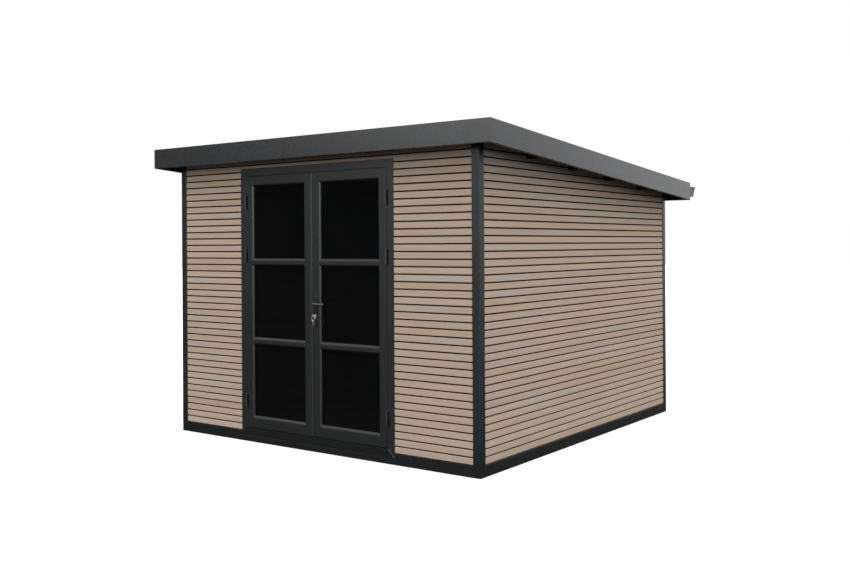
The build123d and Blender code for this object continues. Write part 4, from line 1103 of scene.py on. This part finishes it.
# ------------------------------------------------------------------ gutter and rain pipe
GY, GX, GZ0 = 1650.0, 1672.0, 1958.0
p = Piece("gutter_channel", "house", [GUTTER_M], "fascia_grey", ("gutter",))
outer_pts = [(0.3, 90), (0.3, 0), (88, 0), (97, 10), (117, 50), (125, 74), (131, 78)]
inner_pts = [(131, 80.4), (123.0, 76.2), (115.0, 51.0), (95.0, 11.5), (87.0, 2.4), (2.7, 2.4), (2.7, 90)]
chan = outer_pts + inner_pts
p.add(loft([[(x, GY + a, GZ0 + b) for a, b in chan] for x in (-GX + 1, -GX / 2, 0, GX / 2, GX - 1)]), "x", keep=True)
bead = circle(7.0, 14)
p.add(loft([[(x, GY + 135.5 + a, GZ0 + 82.4 + b) for a, b in bead] for x in (-GX + 1, 0, GX - 1)]), "x", keep=True)
endp = rounded([(0, 0), (89, -0.0), (98, 10), (118, 50), (127, 76), (143, 77.5), (143, 90), (0, 90)], [2, 6, 2, 2, 2, 2, 4, 2], 3)
for s in (-1, 1):
    def ep(u, w, d, s=s):
        return (s * (GX - d), GY + min(u, 142.6), GZ0 + w)
    p.add(plate(endp, ep, 0.0, 3.4, 1.0), "y")
p.done()
p = Piece("gutter_brackets", "house", [GUTTER_M, SCREW])
for k in range(7):
    x = -1560.0 + k * 520.0
    path = [(x, GY + 3.5, GZ0 + 87.2), (x, GY + 70, GZ0 + 87.4), (x, GY + 128, GZ0 + 88.6)]
    p.add(cbox(x - 12, x + 12, GY + 3.0, GY + 132.0, GZ0 + 86.0, GZ0 + 88.6, 0.8), "y")
    p.add(cbox(x - 12, x + 12, GY + 2.8, GY + 5.2, GZ0 + 30.0, GZ0 + 86.4, 0.8), "z")
    screws(p, [(x, GY + 5.2, GZ0 + 52), (x, GY + 5.2, GZ0 + 72)], (0, 1, 0), 4.0)
p.done()

PX = -1400.0
p = Piece("downpipe_tube", "house", [GUTTER_M], "fascia_grey", ("downpipe",))
path = bend([(PX, GY + 50, GZ0 - 0.5), (PX, GY + 50, 1875), (PX, HY + 45, 1760), (PX, HY + 45, 190), (PX, HY + 95, 120)], 45.0, 7)
p.add(pipe(path, 29.6, 27.6, 28, up=(1, 0, 0)), "z", keep=True)
# outlet funnel under the gutter, and the socket collars
p.add(loft([[(PX + x, GY + 50 + y, z) for x, y in circle(r, 28)] for r, z in ((33.5, GZ0 - 22), (33.5, GZ0 - 2), (30.2, GZ0 - 2), (30.2, GZ0 - 22))], wrap=True), "z", keep=True)
for z in (1700.0, 232.0):
    p.add(loft([[(PX + x, HY + 45 + y, zz) for x, y in circle(r, 28)] for r, zz in ((32.6, z - 24), (33.0, z - 22), (33.0, z + 22), (32.2, z + 25), (30.0, z + 25), (30.0, z - 24))], wrap=True), "z", keep=True)
p.done()
p = Piece("downpipe_clamp_bands", "house", [GUTTER_M, SCREW], "fascia_grey", ("downpipe_clips",))
for z in (420.0, 1060.0, 1660.0):
    a, b = z, z + 24
    p.add(loft([[(PX + x, HY + 45 + y, zz) for x, y in circle(r, 28)] for r, zz in ((32.6, a), (33.0, a + 0.8), (33.0, b - 0.8), (32.6, b), (30.0, b), (30.0, a))], wrap=True), "z")
    p.add(cbox(PX - 9, PX + 9, HY - 3.6, HY + 15.0, a + 1, b - 1, 0.8), "y")
    for s in (-1, 1):
        p.add(cbox(PX + s * 38 - 6, PX + s * 38 + 6, HY + 43, HY + 47, a + 1, b - 1, 0.8), "y")
        p.add(rod([(PX + s * 39, HY + 38.5, z + 12), (PX + s * 39, HY + 51.5, z + 12)], 3.2, 6, up=(0, 0, 1)), mat=1)
p.done()


# ------------------------------------------------------------------ stage
def floor():
    me = bpy.data.meshes.new("studio_floor")
    n = 96
    pts = [(60 * math.cos(2 * math.pi * i / n), 60 * math.sin(2 * math.pi * i / n), -0.0006) for i in range(n)]
    me.from_pydata(pts, [], [tuple(range(n))])
    ob = bpy.data.objects.new("studio_floor", me)
    bpy.context.scene.collection.objects.link(ob)
    m, nt, b = new_mat("pale_floor")
    g = Graph(nt)
    g.put(b.inputs["Base Color"], g.ramp(g.noise(g.coord(), scale=0.6, detail=2), [(0.3, (0.86, 0.86, 0.86)), (0.7, (0.88, 0.88, 0.88))]))
    b.inputs["Roughness"].default_value = 0.9
    b.inputs["Specular IOR Level"].default_value = 0.1
    me.materials.append(m)
    ob.visible_diffuse = False
    ob.visible_glossy = False


floor()


HORIZON = ((-180, 0.02, 1.10), (-120, 0.10, 1.00), (-90, 0.28, 1.00), (-60, 0.34, 1.15), (-50, 0.26, 1.40), (-42, 0.14, 1.80), (-34, 0.05, 2.05), (-20, 0.00, 1.90),
           (0, -0.02, 1.55), (45, -0.03, 1.78), (90, -0.02, 1.42), (130, 0.00, 0.98), (146, 0.00, 0.88), (152, -0.04, 1.12), (158, -0.08, 1.42), (166, -0.07, 1.60), (180, 0.02, 1.20))


def world():
    """Soft studio surround: a bright ceiling and bright walls that start at the height given by HORIZON (degrees from -Y towards +X, sine of the height, brightness), dark below. The camera sees plain white."""
    w = bpy.data.worlds.new("studio")
    bpy.context.scene.world = w
    w.use_nodes = True
    nt = w.node_tree
    nt.nodes.clear()
    g = Graph(nt)
    out = g.node("ShaderNodeOutputWorld")
    x, y, z = g.split(g.node("ShaderNodeTexCoord").outputs["Generated"])[:3]
    turn = g.math("ADD", g.math("DIVIDE", g.math("ARCTAN2", x, g.math("MULTIPLY", y, -1.0)), 2 * math.pi), 0.5)
    low = g.ramp(turn, [((a + 180) / 360, (h * 0.5 + 0.5, b / 4, 0.0)) for a, h, b in HORIZON])
    sep = g.node("ShaderNodeSeparateColor")
    g.put(sep.inputs[0], low)
    h = g.math("MULTIPLY", g.math("SUBTRACT", sep.outputs[0], 0.5), 2.0)
    wall_b = g.math("MULTIPLY", sep.outputs[1], 4.0 * 0.88)
    k = g.fit(z, 0.15, 0.85, smooth=True)
    sky = g.math("ADD", g.math("MULTIPLY", wall_b, g.math("SUBTRACT", 1.0, k)), g.math("MULTIPLY", k, 2.1 * 0.92))
    up = g.fit(g.math("SUBTRACT", z, h), -0.055, 0.055, smooth=True)
    ground = g.fit(z, -0.55, -0.12, 0.09, 0.02, smooth=True)
    lum = g.math("ADD", g.math("MULTIPLY", sky, up), g.math("MULTIPLY", g.math("SUBTRACT", 1.0, up), ground))
    bg = g.node("ShaderNodeBackground")
    bg.inputs["Color"].default_value = (0.975, 0.99, 1.0, 1)
    g.put(bg.inputs["Strength"], lum)
    white = g.node("ShaderNodeBackground")
    white.inputs["Color"].default_value = (1, 1, 1, 1)
    white.inputs["Strength"].default_value = 1.0
    mix = g.node("ShaderNodeMixShader")
    g.put(mix.inputs[0], g.node("ShaderNodeLightPath").outputs["Is Camera Ray"])
    nt.links.new(bg.outputs[0], mix.inputs[1])
    nt.links.new(white.outputs[0], mix.inputs[2])
    nt.links.new(mix.outputs[0], out.inputs[0])


world()


def sun(name, az, el, strength, spread, colour):
    """az: degrees from -Y towards +X."""
    li = bpy.data.lights.new(name, "SUN")
    li.energy, li.angle, li.color = strength, math.radians(spread), colour
    ob = bpy.data.objects.new(name, li)
    bpy.context.scene.collection.objects.link(ob)
    a, e = math.radians(az), math.radians(el)
    back = Vector((math.sin(a) * math.cos(e), -math.cos(a) * math.cos(e), math.sin(e)))
    ob.rotation_mode = "QUATERNION"
    ob.rotation_quaternion = (-back).to_track_quat("-Z", "Y")
    ob.location = back * 10


sun("overhead_softbox", 45.0, 57.0, 1.45, 30.0, (1.0, 0.985, 0.96))


def camera():
    yaw, roll, f, cx, cy = -0.60578, -0.0058, 946.01, 475.15, 244.55
    loc = Vector((4.98443, -6.57757, 1.52876))
    fwd = Vector((math.sin(yaw), math.cos(yaw), 0))
    right = Vector((math.cos(yaw), -math.sin(yaw), 0))
    up = Vector((0, 0, 1))
    r2 = right * math.cos(roll) + up * math.sin(roll)
    u2 = -right * math.sin(roll) + up * math.cos(roll)
    cam = bpy.data.cameras.new("camera")
    ob = bpy.data.objects.new("camera", cam)
    bpy.context.scene.collection.objects.link(ob)
    ob.matrix_world = Matrix(((r2.x, u2.x, -fwd.x, loc.x), (r2.y, u2.y, -fwd.y, loc.y), (r2.z, u2.z, -fwd.z, loc.z), (0, 0, 0, 1)))
    cam.sensor_width = 36.0
    cam.lens = f * 36.0 / 850.0
    cam.shift_x = (425.0 - cx) / 850.0
    cam.shift_y = (cy - 283.5) / 850.0
    cam.clip_start, cam.clip_end = 0.05, 300.0
    bpy.context.scene.camera = ob


camera()
sc = bpy.context.scene
sc.view_settings.view_transform = "Standard"
sc.view_settings.look = "None"
sc.view_settings.exposure = 0.0
sc.view_settings.gamma = 1.0
